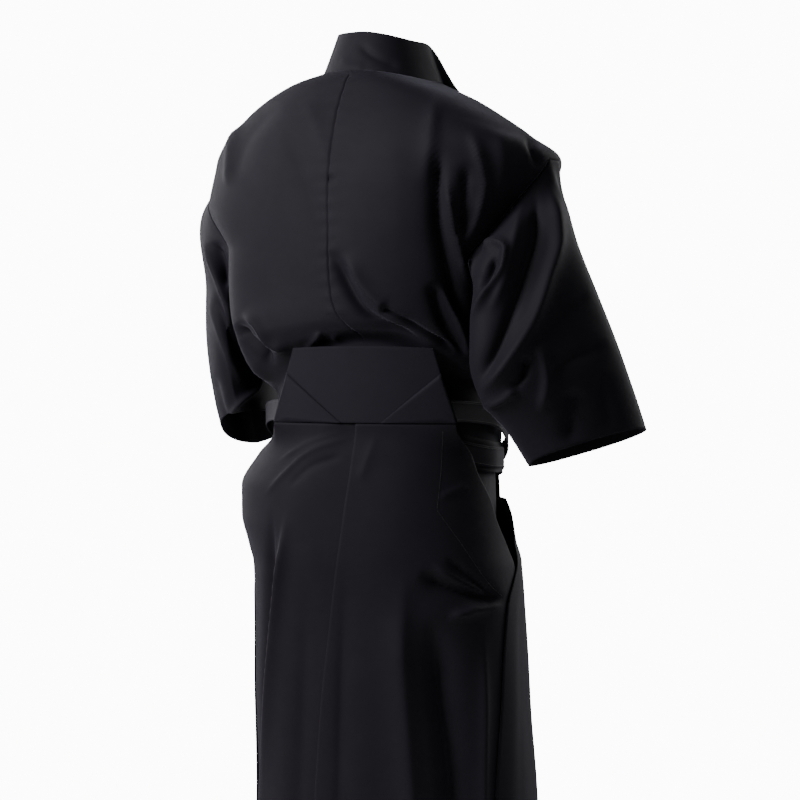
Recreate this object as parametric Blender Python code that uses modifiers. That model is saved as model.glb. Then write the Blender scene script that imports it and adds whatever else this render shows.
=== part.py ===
"""A worn iaido gi: jacket, sash and hakama, hollow, in the form that a standing wearer gives them.

The origin is where the wearer's shoulders carry the jacket, CARRY_HEIGHT above the ground.
+Z is up, the front faces -Y and the wearer's left is +X. Lengths are in metres.
"""

from typing import NamedTuple

import bmesh
import bpy
import numpy as np
from mathutils import Vector
from mathutils.kdtree import KDTree

# Driving sizes
CARRY_HEIGHT = 1.440
JACKET_WALL = 0.0014
SKIRT_WALL = 0.0012
COLLAR_WALL = 0.0022
COLLAR_WIDTH = 0.056
SEAM_GAP = 0.0004
COLLAR_GAP = 0.0009
UNDER_COLLAR_SINK = 0.0046
FRONT_OVERLAP = 0.0066
SASH_WIDTH = 0.064
SASH_WALL = 0.0024
TIE_WIDTH = 0.028
TIE_WALL = 0.0014
TIE_END_LENGTH = 0.150
BOARD_BOTTOM_WIDTH = 0.248
BOARD_TOP_WIDTH = 0.190
BOARD_HEIGHT = 0.098
BOARD_WALL = 0.0040
BOARD_FOOT_HEIGHT = 0.975
BOARD_REACH = 0.141
BOARD_CURVE = 0.020
HEM_HEIGHT = 0.085
SLIT_FOOT_HEIGHT = 0.780
FRONT_TOP_HEIGHT = 0.866
SLEEVE_CLEARANCE = 0.0035
ARMHOLE_GAP = 0.0012
ARMHOLE_STEP = 0.0009
UNDERARM_STEP = 0.0032
VIEW_TURN = 14.0
ROUND = 2.4
ROWS = (16, 6, 5)
COLUMNS = (10, 5, 8)


class Ring(NamedTuple):
    """One ring of the jacket's body: heights above the ground, reaches from its axis, and its turn."""

    name: str
    back_height: float
    left_height: float
    right_height: float
    front_height: float
    back: float
    left: float
    right: float
    front: float
    turn: float
    corner: float
    front_edge: float


JACKET = [
    Ring("hem", 0.750, 0.750, 0.750, 0.750, 0.120, 0.150, 0.150, 0.118, 0, 2.4, 229),
    Ring("seat", 0.860, 0.855, 0.855, 0.845, 0.122, 0.148, 0.148, 0.118, 0, 2.4, 226),
    Ring("sash", 0.950, 0.935, 0.935, 0.895, 0.122, 0.146, 0.146, 0.118, 0, 2.4, 222),
    Ring("tuck", 1.079, 1.000, 0.998, 0.948, 0.122, 0.147, 0.147, 0.120, 0, 2.4, 217),
    Ring("roll", 1.098, 1.030, 1.030, 0.974, 0.139, 0.172, 0.160, 0.136, 5, 3.0, 211),
    Ring("blouse", 1.112, 1.066, 1.064, 1.005, 0.148, 0.186, 0.170, 0.145, 10, 4.0, 205),
    Ring("slack", 1.134, 1.112, 1.106, 1.050, 0.151, 0.188, 0.172, 0.146, 14, 5.2, 196),
    Ring("ribs", 1.167, 1.158, 1.145, 1.110, 0.151, 0.188, 0.176, 0.140, 16, 5.6, 186),
    Ring("armpit", 1.207, 1.200, 1.180, 1.165, 0.150, 0.190, 0.186, 0.134, 17, 5.2, 176),
    Ring("blade", 1.290, 1.262, 1.252, 1.240, 0.146, 0.250, 0.222, 0.124, 18, 3.2, 168),
    Ring("tip", 1.360, 1.312, 1.318, 1.305, 0.132, 0.253, 0.258, 0.108, 18, 2.6, 160),
    Ring("shoulder", 1.402, 1.386, 1.354, 1.350, 0.113, 0.205, 0.214, 0.092, 19, 2.4, 150),
    Ring("slope", 1.429, 1.425, 1.398, 1.385, 0.097, 0.140, 0.142, 0.080, 19, 2.4, 134),
    Ring("neck", 1.4415, 1.441, 1.429, 1.414, 0.083, 0.083, 0.076, 0.072, 20, 2.2, 116),
]
NAMES = [ring.name for ring in JACKET]
ARMPIT, TIP, NECK = NAMES.index("armpit"), NAMES.index("tip"), NAMES.index("neck")


class ArmholeEdge(NamedTuple):
    """Where an armhole's two seams cross a ring, in degrees round from the centre back."""

    level: int
    left_rear: float
    left_fore: float
    right_rear: float
    right_fore: float


ARMHOLE = [
    ArmholeEdge(ARMPIT, 55, 118, 58, 120),
    ArmholeEdge(ARMPIT + 1, 59, 108, 73, 111),
    ArmholeEdge(TIP, 84, 97, 84, 97),
]


class SleeveRing(NamedTuple):
    """One ring of a sleeve through four places: its upper crease, its outer side, its underarm and its inner side."""

    crease: tuple
    outer: tuple
    under: tuple
    inner: tuple


RIGHT_SLEEVE = [
    SleeveRing((-0.252, 0.060, 1.262), (-0.216, 0.134, 1.232), (-0.149, 0.134, 1.150), (-0.212, -0.004, 1.150)),
    SleeveRing((-0.266, 0.045, 1.206), (-0.232, 0.138, 1.178), (-0.146, 0.141, 1.108), (-0.211, 0.001, 1.114)),
    SleeveRing((-0.289, 0.035, 1.140), (-0.250, 0.136, 1.122), (-0.146, 0.145, 1.058), (-0.216, 0.006, 1.072)),
    SleeveRing((-0.320, 0.022, 1.057), (-0.273, 0.127, 1.054), (-0.160, 0.135, 1.005), (-0.236, 0.004, 1.012)),
    SleeveRing((-0.339, 0.012, 1.005), (-0.290, 0.112, 1.002), (-0.190, 0.110, 0.964), (-0.250, 0.000, 0.968)),
    SleeveRing((-0.354, 0.004, 0.962), (-0.302, 0.098, 0.955), (-0.215, 0.085, 0.921), (-0.262, -0.006, 0.929)),
]
LEFT_SLEEVE = [
    SleeveRing((0.264, -0.140, 1.246), (0.283, -0.050, 1.232), (0.216, 0.028, 1.168), (0.192, -0.102, 1.156)),
    SleeveRing((0.264, -0.152, 1.178), (0.277, -0.060, 1.170), (0.217, 0.030, 1.114), (0.195, -0.112, 1.110)),
    SleeveRing((0.262, -0.165, 1.102), (0.279, -0.070, 1.098), (0.218, 0.024, 1.060), (0.196, -0.118, 1.060)),
    SleeveRing((0.257, -0.176, 1.026), (0.276, -0.080, 1.030), (0.216, 0.014, 1.020), (0.192, -0.122, 1.014)),
    SleeveRing((0.251, -0.184, 0.978), (0.272, -0.088, 0.988), (0.213, 0.005, 0.998), (0.188, -0.118, 0.988)),
    SleeveRing((0.243, -0.190, 0.930), (0.266, -0.094, 0.954), (0.209, -0.004, 0.982), (0.184, -0.112, 0.966)),
]


class SkirtRing(NamedTuple):
    """One ring of the hakama: height above the ground, reaches from its axis, and where the axis lies."""

    height: float
    left: float
    right: float
    back: float
    front: float
    axis_x: float
    axis_y: float


BACK_SKIRT = [
    SkirtRing(HEM_HEIGHT, 0.206, 0.208, 0.186, 0.182, -0.014, -0.030),
    SkirtRing(0.250, 0.196, 0.199, 0.176, 0.176, -0.012, -0.025),
    SkirtRing(0.460, 0.188, 0.191, 0.169, 0.170, -0.010, -0.018),
    SkirtRing(0.600, 0.184, 0.187, 0.165, 0.165, -0.006, -0.010),
    SkirtRing(0.730, 0.181, 0.183, 0.162, 0.158, -0.003, -0.004),
    SkirtRing(0.780, 0.180, 0.181, 0.162, 0.154, -0.001, -0.001),
    SkirtRing(0.808, 0.186, 0.177, 0.161, 0.152, 0.000, 0.000),
    SkirtRing(0.845, 0.196, 0.172, 0.159, 0.148, 0.000, 0.000),
    SkirtRing(0.885, 0.197, 0.166, 0.155, 0.143, 0.000, 0.000),
    SkirtRing(0.930, 0.174, 0.159, 0.147, 0.138, 0.000, 0.000),
    SkirtRing(0.972, 0.152, 0.152, 0.139, 0.136, 0.000, 0.000),
]
FRONT_SKIRT = [
    SkirtRing(HEM_HEIGHT, 0.206, 0.208, 0.186, 0.184, -0.014, -0.030),
    SkirtRing(0.250, 0.196, 0.199, 0.176, 0.177, -0.012, -0.025),
    SkirtRing(0.460, 0.188, 0.191, 0.169, 0.171, -0.010, -0.018),
    SkirtRing(0.600, 0.184, 0.187, 0.165, 0.166, -0.006, -0.010),
    SkirtRing(0.730, 0.181, 0.183, 0.162, 0.159, -0.003, -0.004),
    SkirtRing(0.780, 0.180, 0.181, 0.162, 0.154, -0.001, -0.001),
    SkirtRing(0.808, 0.174, 0.175, 0.161, 0.149, 0.000, 0.000),
    SkirtRing(0.845, 0.166, 0.169, 0.159, 0.142, 0.000, 0.000),
    SkirtRing(0.870, 0.158, 0.160, 0.155, 0.132, 0.000, 0.000),
]


class SkirtEdge(NamedTuple):
    """Lines down the hakama at one height: the centre folds' x, and the side edges in degrees from the back."""

    height: float
    back_fold_x: float
    front_fold_x: float
    back_left: float
    back_right: float
    front_left: float
    front_right: float
    inner_pleat: float
    outer_pleat: float


SKIRT_EDGES = [
    SkirtEdge(HEM_HEIGHT, 0.088, 0.012, 62, 54, 54, 46, 0.070, 0.128),
    SkirtEdge(0.250, 0.078, 0.009, 66, 56, 58, 48, 0.061, 0.113),
    SkirtEdge(0.460, 0.064, 0.006, 72, 60, 64, 52, 0.053, 0.098),
    SkirtEdge(0.600, 0.052, 0.004, 77, 67, 69, 59, 0.048, 0.089),
    SkirtEdge(0.730, 0.036, 0.002, 82, 76, 74, 68, 0.044, 0.081),
    SkirtEdge(0.780, 0.029, 0.001, 84, 82, 86, 84, 0.042, 0.078),
    SkirtEdge(0.800, 0.026, 0.001, 83, 79, 92, 92, 0.041, 0.077),
    SkirtEdge(0.845, 0.020, 0.000, 79, 69, 104, 104, 0.039, 0.074),
    SkirtEdge(0.870, 0.017, 0.000, 74, 66, 110, 110, 0.038, 0.072),
    SkirtEdge(0.910, 0.012, 0.000, 66, 58, 110, 110, 0.037, 0.070),
    SkirtEdge(0.972, 0.006, 0.000, 52, 52, 110, 110, 0.036, 0.068),
]
PLEAT_DEPTH = 0.020
PLEAT_TURN = 0.0036
PLEAT_STEP = 0.0046


class Fold(NamedTuple):
    """A crease: its line across and up the back view, its half width, its ridge and its trough beside that."""

    line: list
    width: float
    lift: float
    sink: float


BACK_FOLDS = [
    Fold([(0.053, 1.395), (0.051, 1.330), (0.048, 1.255), (0.056, 1.190)], 0.014, 0.005, 0.000),
    Fold([(0.062, 1.325), (0.066, 1.275), (0.077, 1.208), (0.098, 1.140)], 0.014, 0.000, 0.015),
    Fold([(0.079, 1.285), (0.085, 1.228), (0.101, 1.180)], 0.010, 0.006, 0.000),
    Fold([(0.097, 1.370), (0.101, 1.320), (0.088, 1.270)], 0.012, 0.000, 0.006),
    Fold([(-0.069, 1.200), (-0.055, 1.158), (-0.020, 1.118), (0.022, 1.092)], 0.013, 0.000, 0.010),
    Fold([(0.000, 1.128), (0.046, 1.100), (0.088, 1.074)], 0.012, 0.000, 0.008),
    Fold([(0.050, 1.165), (0.074, 1.128), (0.105, 1.080)], 0.012, 0.000, 0.009),
    Fold([(-0.208, 1.385), (-0.216, 1.300), (-0.219, 1.215)], 0.012, 0.004, 0.010),
    Fold([(-0.196, 1.105), (-0.170, 1.072), (-0.140, 1.045)], 0.014, 0.000, 0.010),
]
SLEEVE_FOLDS = [
    Fold([(0.215, 1.300), (0.214, 1.200), (0.198, 1.130), (0.150, 1.035)], 0.016, 0.008, 0.006),
    Fold([(0.158, 1.190), (0.138, 1.120), (0.118, 1.070)], 0.014, 0.000, 0.010),
    Fold([(0.232, 1.030), (0.228, 0.960)], 0.022, 0.000, 0.006),
]
SKIRT_FOLDS = [
    Fold([(-0.138, 0.870), (-0.145, 0.700), (-0.154, 0.450), (-0.166, 0.090)], 0.016, 0.009, 0.000),
    Fold([(-0.112, 0.860), (-0.116, 0.700), (-0.122, 0.450), (-0.132, 0.090)], 0.020, 0.000, 0.008),
    Fold([(0.055, 0.780), (0.075, 0.600), (0.090, 0.400), (0.100, 0.090)], 0.026, 0.000, 0.012),
    Fold([(0.048, 0.790), (0.085, 0.760), (0.140, 0.755)], 0.014, 0.000, 0.008),
    Fold([(0.010, 0.700), (0.020, 0.500), (0.028, 0.090)], 0.030, 0.008, 0.000),
    Fold([(-0.045, 0.950), (-0.100, 0.935), (-0.160, 0.880)], 0.010, 0.004, 0.003),
]


def smooth(x, xs, ys):
    """A curve through the points (xs, ys) that never swings past them, read at x."""
    xs, ys = np.asarray(xs, float), np.asarray(ys, float)
    run = np.diff(xs)
    slope = np.diff(ys) / run
    tangent = np.zeros(len(ys))
    total = slope[:-1] + slope[1:]
    same_way = slope[:-1] * slope[1:] > 0
    safe = np.where(same_way, total, 1.0)
    tangent[1:-1] = np.where(same_way, 2 * slope[:-1] * slope[1:] / safe, 0.0)
    tangent[0], tangent[-1] = slope[0], slope[-1]
    x = np.clip(x, xs[0], xs[-1])
    i = np.clip(np.searchsorted(xs, x, side="right") - 1, 0, len(run) - 1)
    t = (x - xs[i]) / run[i]
    rise = (1 + 2 * t) * (1 - t) ** 2 * ys[i] + t**2 * (3 - 2 * t) * ys[i + 1]
    return rise + t * (1 - t) * run[i] * ((1 - t) * tangent[i] - t * tangent[i + 1])


def column(table, name):
    return [getattr(row, name) for row in table]


def ease(x):
    """0 below 0, 1 above 1, and a soft rise between."""
    t = np.clip(x, 0.0, 1.0)
    return t * t * (3 - 2 * t)


def oval(angle, left, right, back, front, corner=ROUND):
    """A point of a rounded ring with its own reach each way, angle in degrees from the centre back to the left."""
    sine, cosine = np.sin(np.radians(angle)), np.cos(np.radians(angle))
    power = np.where((sine > 0) & (cosine > 0), corner, ROUND)
    scale = (np.abs(sine) ** power + np.abs(cosine) ** power) ** (-1 / power)
    x = sine * scale * np.where(sine > 0, left, right)
    y = cosine * scale * np.where(cosine > 0, back, front)
    return x, y


def body(level, angle, out=0.0):
    """The jacket's body: level runs up the rows of JACKET, and out stands off its surface."""
    level, angle = np.broadcast_arrays(np.asarray(level, float), np.asarray(angle, float))
    at = {name: smooth(level, range(len(JACKET)), column(JACKET, name)) for name in Ring._fields[1:]}
    x, y = oval(angle, at["left"] + out, at["right"] + out, at["back"] + out, at["front"] + out, at["corner"])
    sine, cosine = np.sin(np.radians(angle)), np.cos(np.radians(angle))
    side = np.where(sine > 0, at["left_height"], at["right_height"])
    middle = np.where(cosine > 0, at["back_height"], at["front_height"])
    height = middle * cosine**2 + side * sine**2
    turn = np.radians(at["turn"])
    return np.stack(
        [
            x * np.cos(turn) + y * np.sin(turn),
            y * np.cos(turn) - x * np.sin(turn),
            height - CARRY_HEIGHT,
        ],
        axis=-1,
    )


def body_at(height, angle, out):
    """The point of the jacket's body at a height above the ground, in its lower half."""
    levels = np.linspace(0, ARMPIT, 120)
    out = np.broadcast_to(out, angle.shape)
    points = body(levels[:, None], angle[None, :], out[None, :])
    found = []
    for i, wanted in enumerate(height):
        level = np.interp(wanted - CARRY_HEIGHT, points[:, i, 2], levels)
        found.append(body(level, angle[i], out[i]))
    return np.array(found)


def skirt(table, height, angle, out=0.0):
    """A point of the hakama at a height above the ground, and out off its surface."""
    height, angle = np.broadcast_arrays(np.asarray(height, float), np.asarray(angle, float))
    rows = table[::-1] if table[0].height > table[-1].height else table
    heights = column(rows, "height")
    at = {name: smooth(height, heights, column(rows, name)) for name in SkirtRing._fields[1:]}
    x, y = oval(angle, at["left"] + out, at["right"] + out, at["back"] + out, at["front"] + out)
    return np.stack([x + at["axis_x"], y + at["axis_y"], height - CARRY_HEIGHT], axis=-1)


def edge_at(height, name):
    return smooth(height, column(SKIRT_EDGES, "height"), column(SKIRT_EDGES, name))


def normals_of(grid):
    """Unit normals of a grid of points, pointing away from the upright axis that the grid goes round."""
    along = np.gradient(grid, axis=0)
    across = np.gradient(grid, axis=1)
    normal = np.cross(across, along)
    normal /= np.maximum(np.linalg.norm(normal, axis=-1, keepdims=True), 1e-12)
    return normal


def outward(grid, axis=(0.0, 0.0)):
    """The normals of a grid, turned so that most of them point away from the axis."""
    normal = normals_of(grid)
    away = grid[..., :2] - np.asarray(axis)
    if np.sum(normal[..., :2] * away) < 0:
        normal = -normal
    return normal


def fold_push(points, normal, folds):
    """How far the folds, which are laid out as seen from behind the wearer, push points along their normals."""
    turn = np.radians(180 + VIEW_TURN)
    right = np.array([np.cos(turn), np.sin(turn), 0.0])
    facing = np.array([np.sin(turn), -np.cos(turn), 0.0])
    flat = np.stack([points @ right, points[..., 2] + CARRY_HEIGHT], axis=-1)
    push = np.zeros(points.shape[:-1])
    for fold in folds:
        line = np.array(fold.line)
        near, side, share = nearest_on(flat, line)
        fade = ease(share / 0.25) * ease((1 - share) / 0.25)
        ridge = fold.lift * np.exp(-(((near * side - fold.width * 0.5) / fold.width) ** 2))
        trough = fold.sink * np.exp(-(((near * side + fold.width * 0.5) / fold.width) ** 2))
        push += fade * (ridge - trough)
    return push * ease((normal @ facing + 0.05) / 0.35)


def crease(points, normal, folds):
    return points + normal * fold_push(points, normal, folds)[..., None]


def nearest_on(flat, line):
    """Distance from each point to a line, the side it lies on, and how far along the line that is."""
    step = np.linalg.norm(np.diff(line, axis=0), axis=1)
    start = np.concatenate([[0.0], np.cumsum(step)])
    best = np.full(flat.shape[:-1], 1e9)
    side = np.ones(flat.shape[:-1])
    share = np.zeros(flat.shape[:-1])
    for i, length in enumerate(step):
        way = (line[i + 1] - line[i]) / length
        gap = flat - line[i]
        along = gap @ way
        off = gap - np.clip(along, 0, length)[..., None] * way
        distance = np.linalg.norm(off, axis=-1)
        closer = distance < best
        best = np.where(closer, distance, best)
        turned = np.sign(gap[..., 0] * way[1] - gap[..., 1] * way[0])
        side = np.where(closer, np.where(turned == 0, 1.0, turned), side)
        share = np.where(closer, (start[i] + np.clip(along, 0, length)) / start[-1], share)
    return best, side, share


def stand_clear(points, blocker, blocker_normal, clearance):
    """Moves points out of a neighbouring cloth, so that they lie at least clearance off it."""
    tree = KDTree(len(blocker))
    for i, place in enumerate(blocker):
        tree.insert(Vector(place), i)
    tree.balance()
    moved = points.copy()
    for i, place in enumerate(points):
        found = [(index, distance) for _, index, distance in tree.find_n(Vector(place), 4)]
        depth = [float((place - blocker[k]) @ blocker_normal[k]) for k, _ in found]
        short = clearance[i] - min(depth)
        if short > 0 and found[0][1] < 0.12:
            moved[i] = place + blocker_normal[found[0][0]] * short
    return moved


def cloth(name, grid, wall, material, hole=None, closed=False, facing_axis=(0.0, 0.0)):
    """An open sheet of cloth through a grid of points, made a wall by Solidify, which goes inward from it."""
    rows, columns = grid.shape[:2]
    points = grid.reshape(-1, 3)
    quads = []
    for r in range(rows - 1):
        for c in range(columns if closed else columns - 1):
            if hole and hole[0] <= r < hole[1] and hole[2] <= c < hole[3]:
                continue
            d = (c + 1) % columns
            quads.append((r * columns + c, r * columns + d, (r + 1) * columns + d, (r + 1) * columns + c))
    corners = points[np.array(quads)]
    facing = np.cross(corners[:, 2] - corners[:, 0], corners[:, 3] - corners[:, 1])
    away = corners.mean(axis=1)[:, :2] - np.asarray(facing_axis)
    if np.sum(facing[:, :2] * away) < 0:
        quads = [quad[::-1] for quad in quads]
    return walled(name, points, quads, wall, material)


def walled(name, points, faces, wall, material):
    used = sorted({i for face in faces for i in face})
    place = {old: new for new, old in enumerate(used)}
    mesh = bpy.data.meshes.new(name)
    mesh.from_pydata(
        [tuple(points[i]) for i in used], [], [tuple(place[i] for i in face) for face in faces]
    )
    mesh.update()
    mesh.materials.append(material)
    mesh.shade_smooth()
    piece = bpy.data.objects.new(name, mesh)
    GARMENT.objects.link(piece)
    solid = piece.modifiers.new("Wall", "SOLIDIFY")
    solid.thickness = wall
    solid.offset = -1.0
    return piece


def make_material(name, colour, roughness):
    material = bpy.data.materials.new(name)
    material.use_nodes = True
    shader = material.node_tree.nodes["Principled BSDF"]
    shader.inputs["Base Color"].default_value = (*colour, 1.0)
    shader.inputs["Roughness"].default_value = roughness
    shader.inputs["Metallic"].default_value = 0.0
    return material


def body_levels(below, beside, above):
    """Levels up the jacket, with rows at the armpit and at the armhole's top."""
    return np.concatenate(
        [
            np.linspace(0, ARMPIT, below + 1),
            np.linspace(ARMPIT, TIP, beside + 1)[1:],
            np.linspace(TIP, NECK, above + 1)[1:],
        ]
    )


def half_angles(levels, side, rear, arm, fore):
    """Angles from the centre back to the front edge for one half, with columns at the armhole's seams."""
    which = "left" if side > 0 else "right"
    at = [row.level for row in ARMHOLE]
    rear_edge = smooth(levels, at, column(ARMHOLE, f"{which}_rear"))
    fore_edge = smooth(levels, at, column(ARMHOLE, f"{which}_fore"))
    front_edge = smooth(levels, range(len(JACKET)), column(JACKET, "front_edge"))
    start = np.degrees(SEAM_GAP / 2 / smooth(levels, range(len(JACKET)), column(JACKET, "left")))
    angles = []
    for row in range(len(levels)):
        spans = [
            np.linspace(start[row], rear_edge[row], rear + 1),
            np.linspace(rear_edge[row], fore_edge[row], arm + 1)[1:],
            np.linspace(fore_edge[row], front_edge[row], fore + 1)[1:],
        ]
        angles.append(np.concatenate(spans))
    return side * np.array(angles)


def overlap(levels, angles, side):
    """How far the left front stands off, where it lies over the right one."""
    if side < 0:
        return np.zeros(np.broadcast(levels, angles).shape)
    lower = 1 - ease((levels - TIP) / 2.5)
    return FRONT_OVERLAP * lower * ease((angles - 80) / 24)


def half_body(side, below, beside, above, rear, arm, fore):
    """One half of the jacket: a grid from the hem to the neck, and where its armhole lies in it."""
    levels = body_levels(below, beside, above)
    angles = half_angles(levels, side, rear, arm, fore)
    stand = overlap(levels[:, None], angles, side)
    grid = body(levels[:, None], angles, stand)
    grid = crease(grid, outward(grid), BACK_FOLDS)
    return grid, (below, below + beside, rear, rear + arm)


def armhole_loop(grid, hole):
    """The armhole's edge in two runs: from its top down the back seam, then under the arm and up the front."""
    low, high, rear, fore = hole
    top = grid[high, rear : fore + 1]
    middle = len(top) // 2
    back_seam = grid[low : high + 1, rear][::-1]
    under = grid[low, rear : fore + 1]
    front_seam = grid[low : high + 1, fore]
    down = np.concatenate([top[: middle + 1][::-1], back_seam[1:]])
    up = np.concatenate([under, front_seam[1:], top[middle:][::-1][1:]])
    return down, up


def resample(path, count):
    length = np.concatenate([[0.0], np.cumsum(np.linalg.norm(np.diff(path, axis=0), axis=1))])
    at = np.linspace(0, length[-1], count)
    return np.stack([np.interp(at, length, path[:, k]) for k in range(3)], axis=-1)


def sleeve_grid(rings, loop, columns, rows_between):
    """A sleeve from the armhole's loop through its rings, as a closed grid."""
    down, up = loop
    half = columns // 2
    first = np.concatenate([resample(down, half + 1)[:-1], resample(up, half + 1)[:-1]])
    stations = [first]
    turn = np.linspace(0, 2 * np.pi, columns, endpoint=False)
    cosine, sine = np.cos(turn), np.sin(turn)
    shape = (np.abs(cosine) ** ROUND + np.abs(sine) ** ROUND) ** (-1 / ROUND)
    for ring in rings:
        crease_at, outer, under, inner = (np.array(place) - [0, 0, CARRY_HEIGHT] for place in ring)
        centre = (crease_at + under) / 2
        lengthways = np.where(cosine[:, None] > 0, crease_at - centre, centre - under)
        across = np.where(sine[:, None] > 0, outer - centre, centre - inner)
        stations.append(centre + lengthways * (cosine * shape)[:, None] + across * (sine * shape)[:, None])
    stations = np.array(stations)
    steps = np.linalg.norm(np.diff(stations, axis=0), axis=2).mean(axis=1)
    reach = np.concatenate([[0.0], np.cumsum(steps)])
    at = [ARMHOLE_GAP]
    for low, high in zip(reach[:-1], reach[1:]):
        at.extend(np.linspace(low, high, rows_between + 1)[1:])
    at = np.array(at)
    grid = np.empty((len(at), columns, 3))
    for c in range(columns):
        for k in range(3):
            grid[:, c, k] = smooth(at, reach, stations[:, c, k])
    return grid, at / reach[-1]


def dressed_sleeve(side, body_grid, hole, columns, rows_between):
    """A sleeve kept just clear of the jacket's body, with its folds."""
    rings = LEFT_SLEEVE if side > 0 else RIGHT_SLEEVE
    above = (np.arange(len(body_grid)) - hole[0]) / (hole[1] - hole[0])
    step = ARMHOLE_STEP + (UNDERARM_STEP - ARMHOLE_STEP) * (1 - ease(above * 2.5))
    raised = body_grid + outward(body_grid) * step[:, None, None]
    grid, share = sleeve_grid(rings, armhole_loop(raised, hole), columns, rows_between)
    levels = np.linspace(1.0, ARMPIT, 50)
    angles = side * np.linspace(0, 178, 60)
    torso = body(levels[:, None], angles[None, :], overlap(levels[:, None], angles[None, :], side))
    torso_normal = outward(torso)
    torso = crease(torso, torso_normal, BACK_FOLDS)
    clearance = np.repeat(SLEEVE_CLEARANCE * (0.5 + 0.5 * ease(share / 0.06)), columns)
    kept = stand_clear(
        grid.reshape(-1, 3), torso.reshape(-1, 3), torso_normal.reshape(-1, 3), clearance
    )
    grid[1:] = kept.reshape(grid.shape)[1:]
    centre = grid[..., :2].mean(axis=(0, 1))
    if side < 0:
        grid = crease(grid, outward(grid, centre), SLEEVE_FOLDS)
    return grid, centre


def front_line(levels, side):
    """The jacket's front edge on one side, and how far it stands off."""
    edge = side * smooth(levels, range(len(JACKET)), column(JACKET, "front_edge"))
    return edge, overlap(levels, edge, side)


def band_beside(levels, side, steps):
    """Lines that run beside the front edge on the body, each a share of the collar's width further on."""
    angle, _ = front_line(levels, side)
    level = levels.astype(float)
    lines = []
    for step in range(steps + 1):
        stand = overlap(level, angle, side)
        if side < 0:
            stand = stand - UNDER_COLLAR_SINK * min(1.0, 2 * step / steps)
        line = body(level, angle, stand)
        lines.append(line)
        up = (body(level + 0.05, angle, stand) - body(level - 0.05, angle, stand)) / 0.1
        round_it = body(level, angle + 0.5, stand) - body(level, angle - 0.5, stand)
        along = np.gradient(line, axis=0)
        along /= np.linalg.norm(along, axis=1, keepdims=True)
        way = side * round_it
        way -= np.sum(way * along, axis=1, keepdims=True) * along
        way *= COLLAR_WIDTH / steps / np.linalg.norm(way, axis=1, keepdims=True)
        for i in range(len(level)):
            basis = np.stack([up[i], round_it[i]], axis=1)
            rise, turn = np.linalg.lstsq(basis, way[i], rcond=None)[0]
            level[i] += np.clip(rise, -0.6, 0.6)
            angle[i] += turn
    return np.array(lines)


def collar_grid(levels, neck_angles, steps):
    """The collar band: up the left front edge, round the neck and down the right front edge."""
    round_neck = body(NECK, neck_angles)
    centre = round_neck[:, :2].mean(axis=0)
    lean = np.radians(20)

    def upright(line):
        away = line[:, :2] - centre
        away /= np.linalg.norm(away, axis=1, keepdims=True)
        return np.column_stack([-np.sin(lean) * away, np.full(len(away), np.cos(lean))])

    sides = []
    stand_up = ease((levels - 11.0) / 2.0)[None, :, None]
    shares = np.linspace(0, 1, steps + 1)
    for side in (1, -1):
        laid = band_beside(levels, side, steps)
        risen = laid[0][None] + shares[:, None, None] * COLLAR_WIDTH * upright(laid[0])[None]
        sides.append(laid * (1 - stand_up) + risen * stand_up)
    neck = round_neck[None] + shares[:, None, None] * COLLAR_WIDTH * upright(round_neck)[None]
    grid = np.concatenate([sides[0], neck[:, 1:], sides[1][:, ::-1][:, 1:]], axis=1)
    for _ in range(3):
        grid[1:, 1:-1] = (grid[1:, :-2] + 2 * grid[1:, 1:-1] + grid[1:, 2:]) / 4
    first = grid[1] - grid[0]
    grid[0] += first / np.linalg.norm(first, axis=1, keepdims=True) * COLLAR_GAP
    return grid


def skirt_speed(table, height, angle):
    """Metres round the hakama for one degree of angle."""
    step = skirt(table, height, angle + 0.5) - skirt(table, height, angle - 0.5)
    return np.linalg.norm(step, axis=-1)


def angle_of_x(table, height, x, front):
    """The angle at which the hakama's ring has this x, on its back or its front."""
    angles = np.linspace(-89, 89, 179) + (180 if front else 0)
    places = skirt(table, height, angles)[:, 0]
    order = np.argsort(places)
    return float(np.interp(x, places[order], angles[order]))


def board_face(x, height, out=0.0):
    """The outer face of the back board, and of the hakama's top where it is sewn to the board."""
    y = BOARD_REACH - BOARD_CURVE * (x / (BOARD_BOTTOM_WIDTH / 2)) ** 2 + out
    return np.stack(np.broadcast_arrays(x, y, height - CARRY_HEIGHT), axis=-1)


def fold_path(table, height, stations):
    """Turns (angle, metres past it, out) stations into points across the hakama at one height."""
    angles = np.array([station[0] for station in stations])
    past = np.array([station[1] for station in stations])
    out = np.array([station[2] for station in stations])
    turned = angles + past / skirt_speed(table, height, angles)
    base = skirt(table, height, turned)
    across = skirt(table, height, turned + 1) - skirt(table, height, turned - 1)
    low, high = max(height - 0.006, HEM_HEIGHT), height + 0.006
    up = skirt(table, high, turned) - skirt(table, low, turned)
    normal = np.cross(up, across)
    normal /= np.linalg.norm(normal, axis=1, keepdims=True)
    push = fold_push(base, normal, SKIRT_FOLDS)
    return skirt(table, height, turned, out) + normal * push[:, None]


def degrees_of(table, height, angle, distance):
    """The angle that a distance round the hakama makes at one height."""
    return distance / float(skirt_speed(table, height, np.array([angle]))[0])


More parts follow.
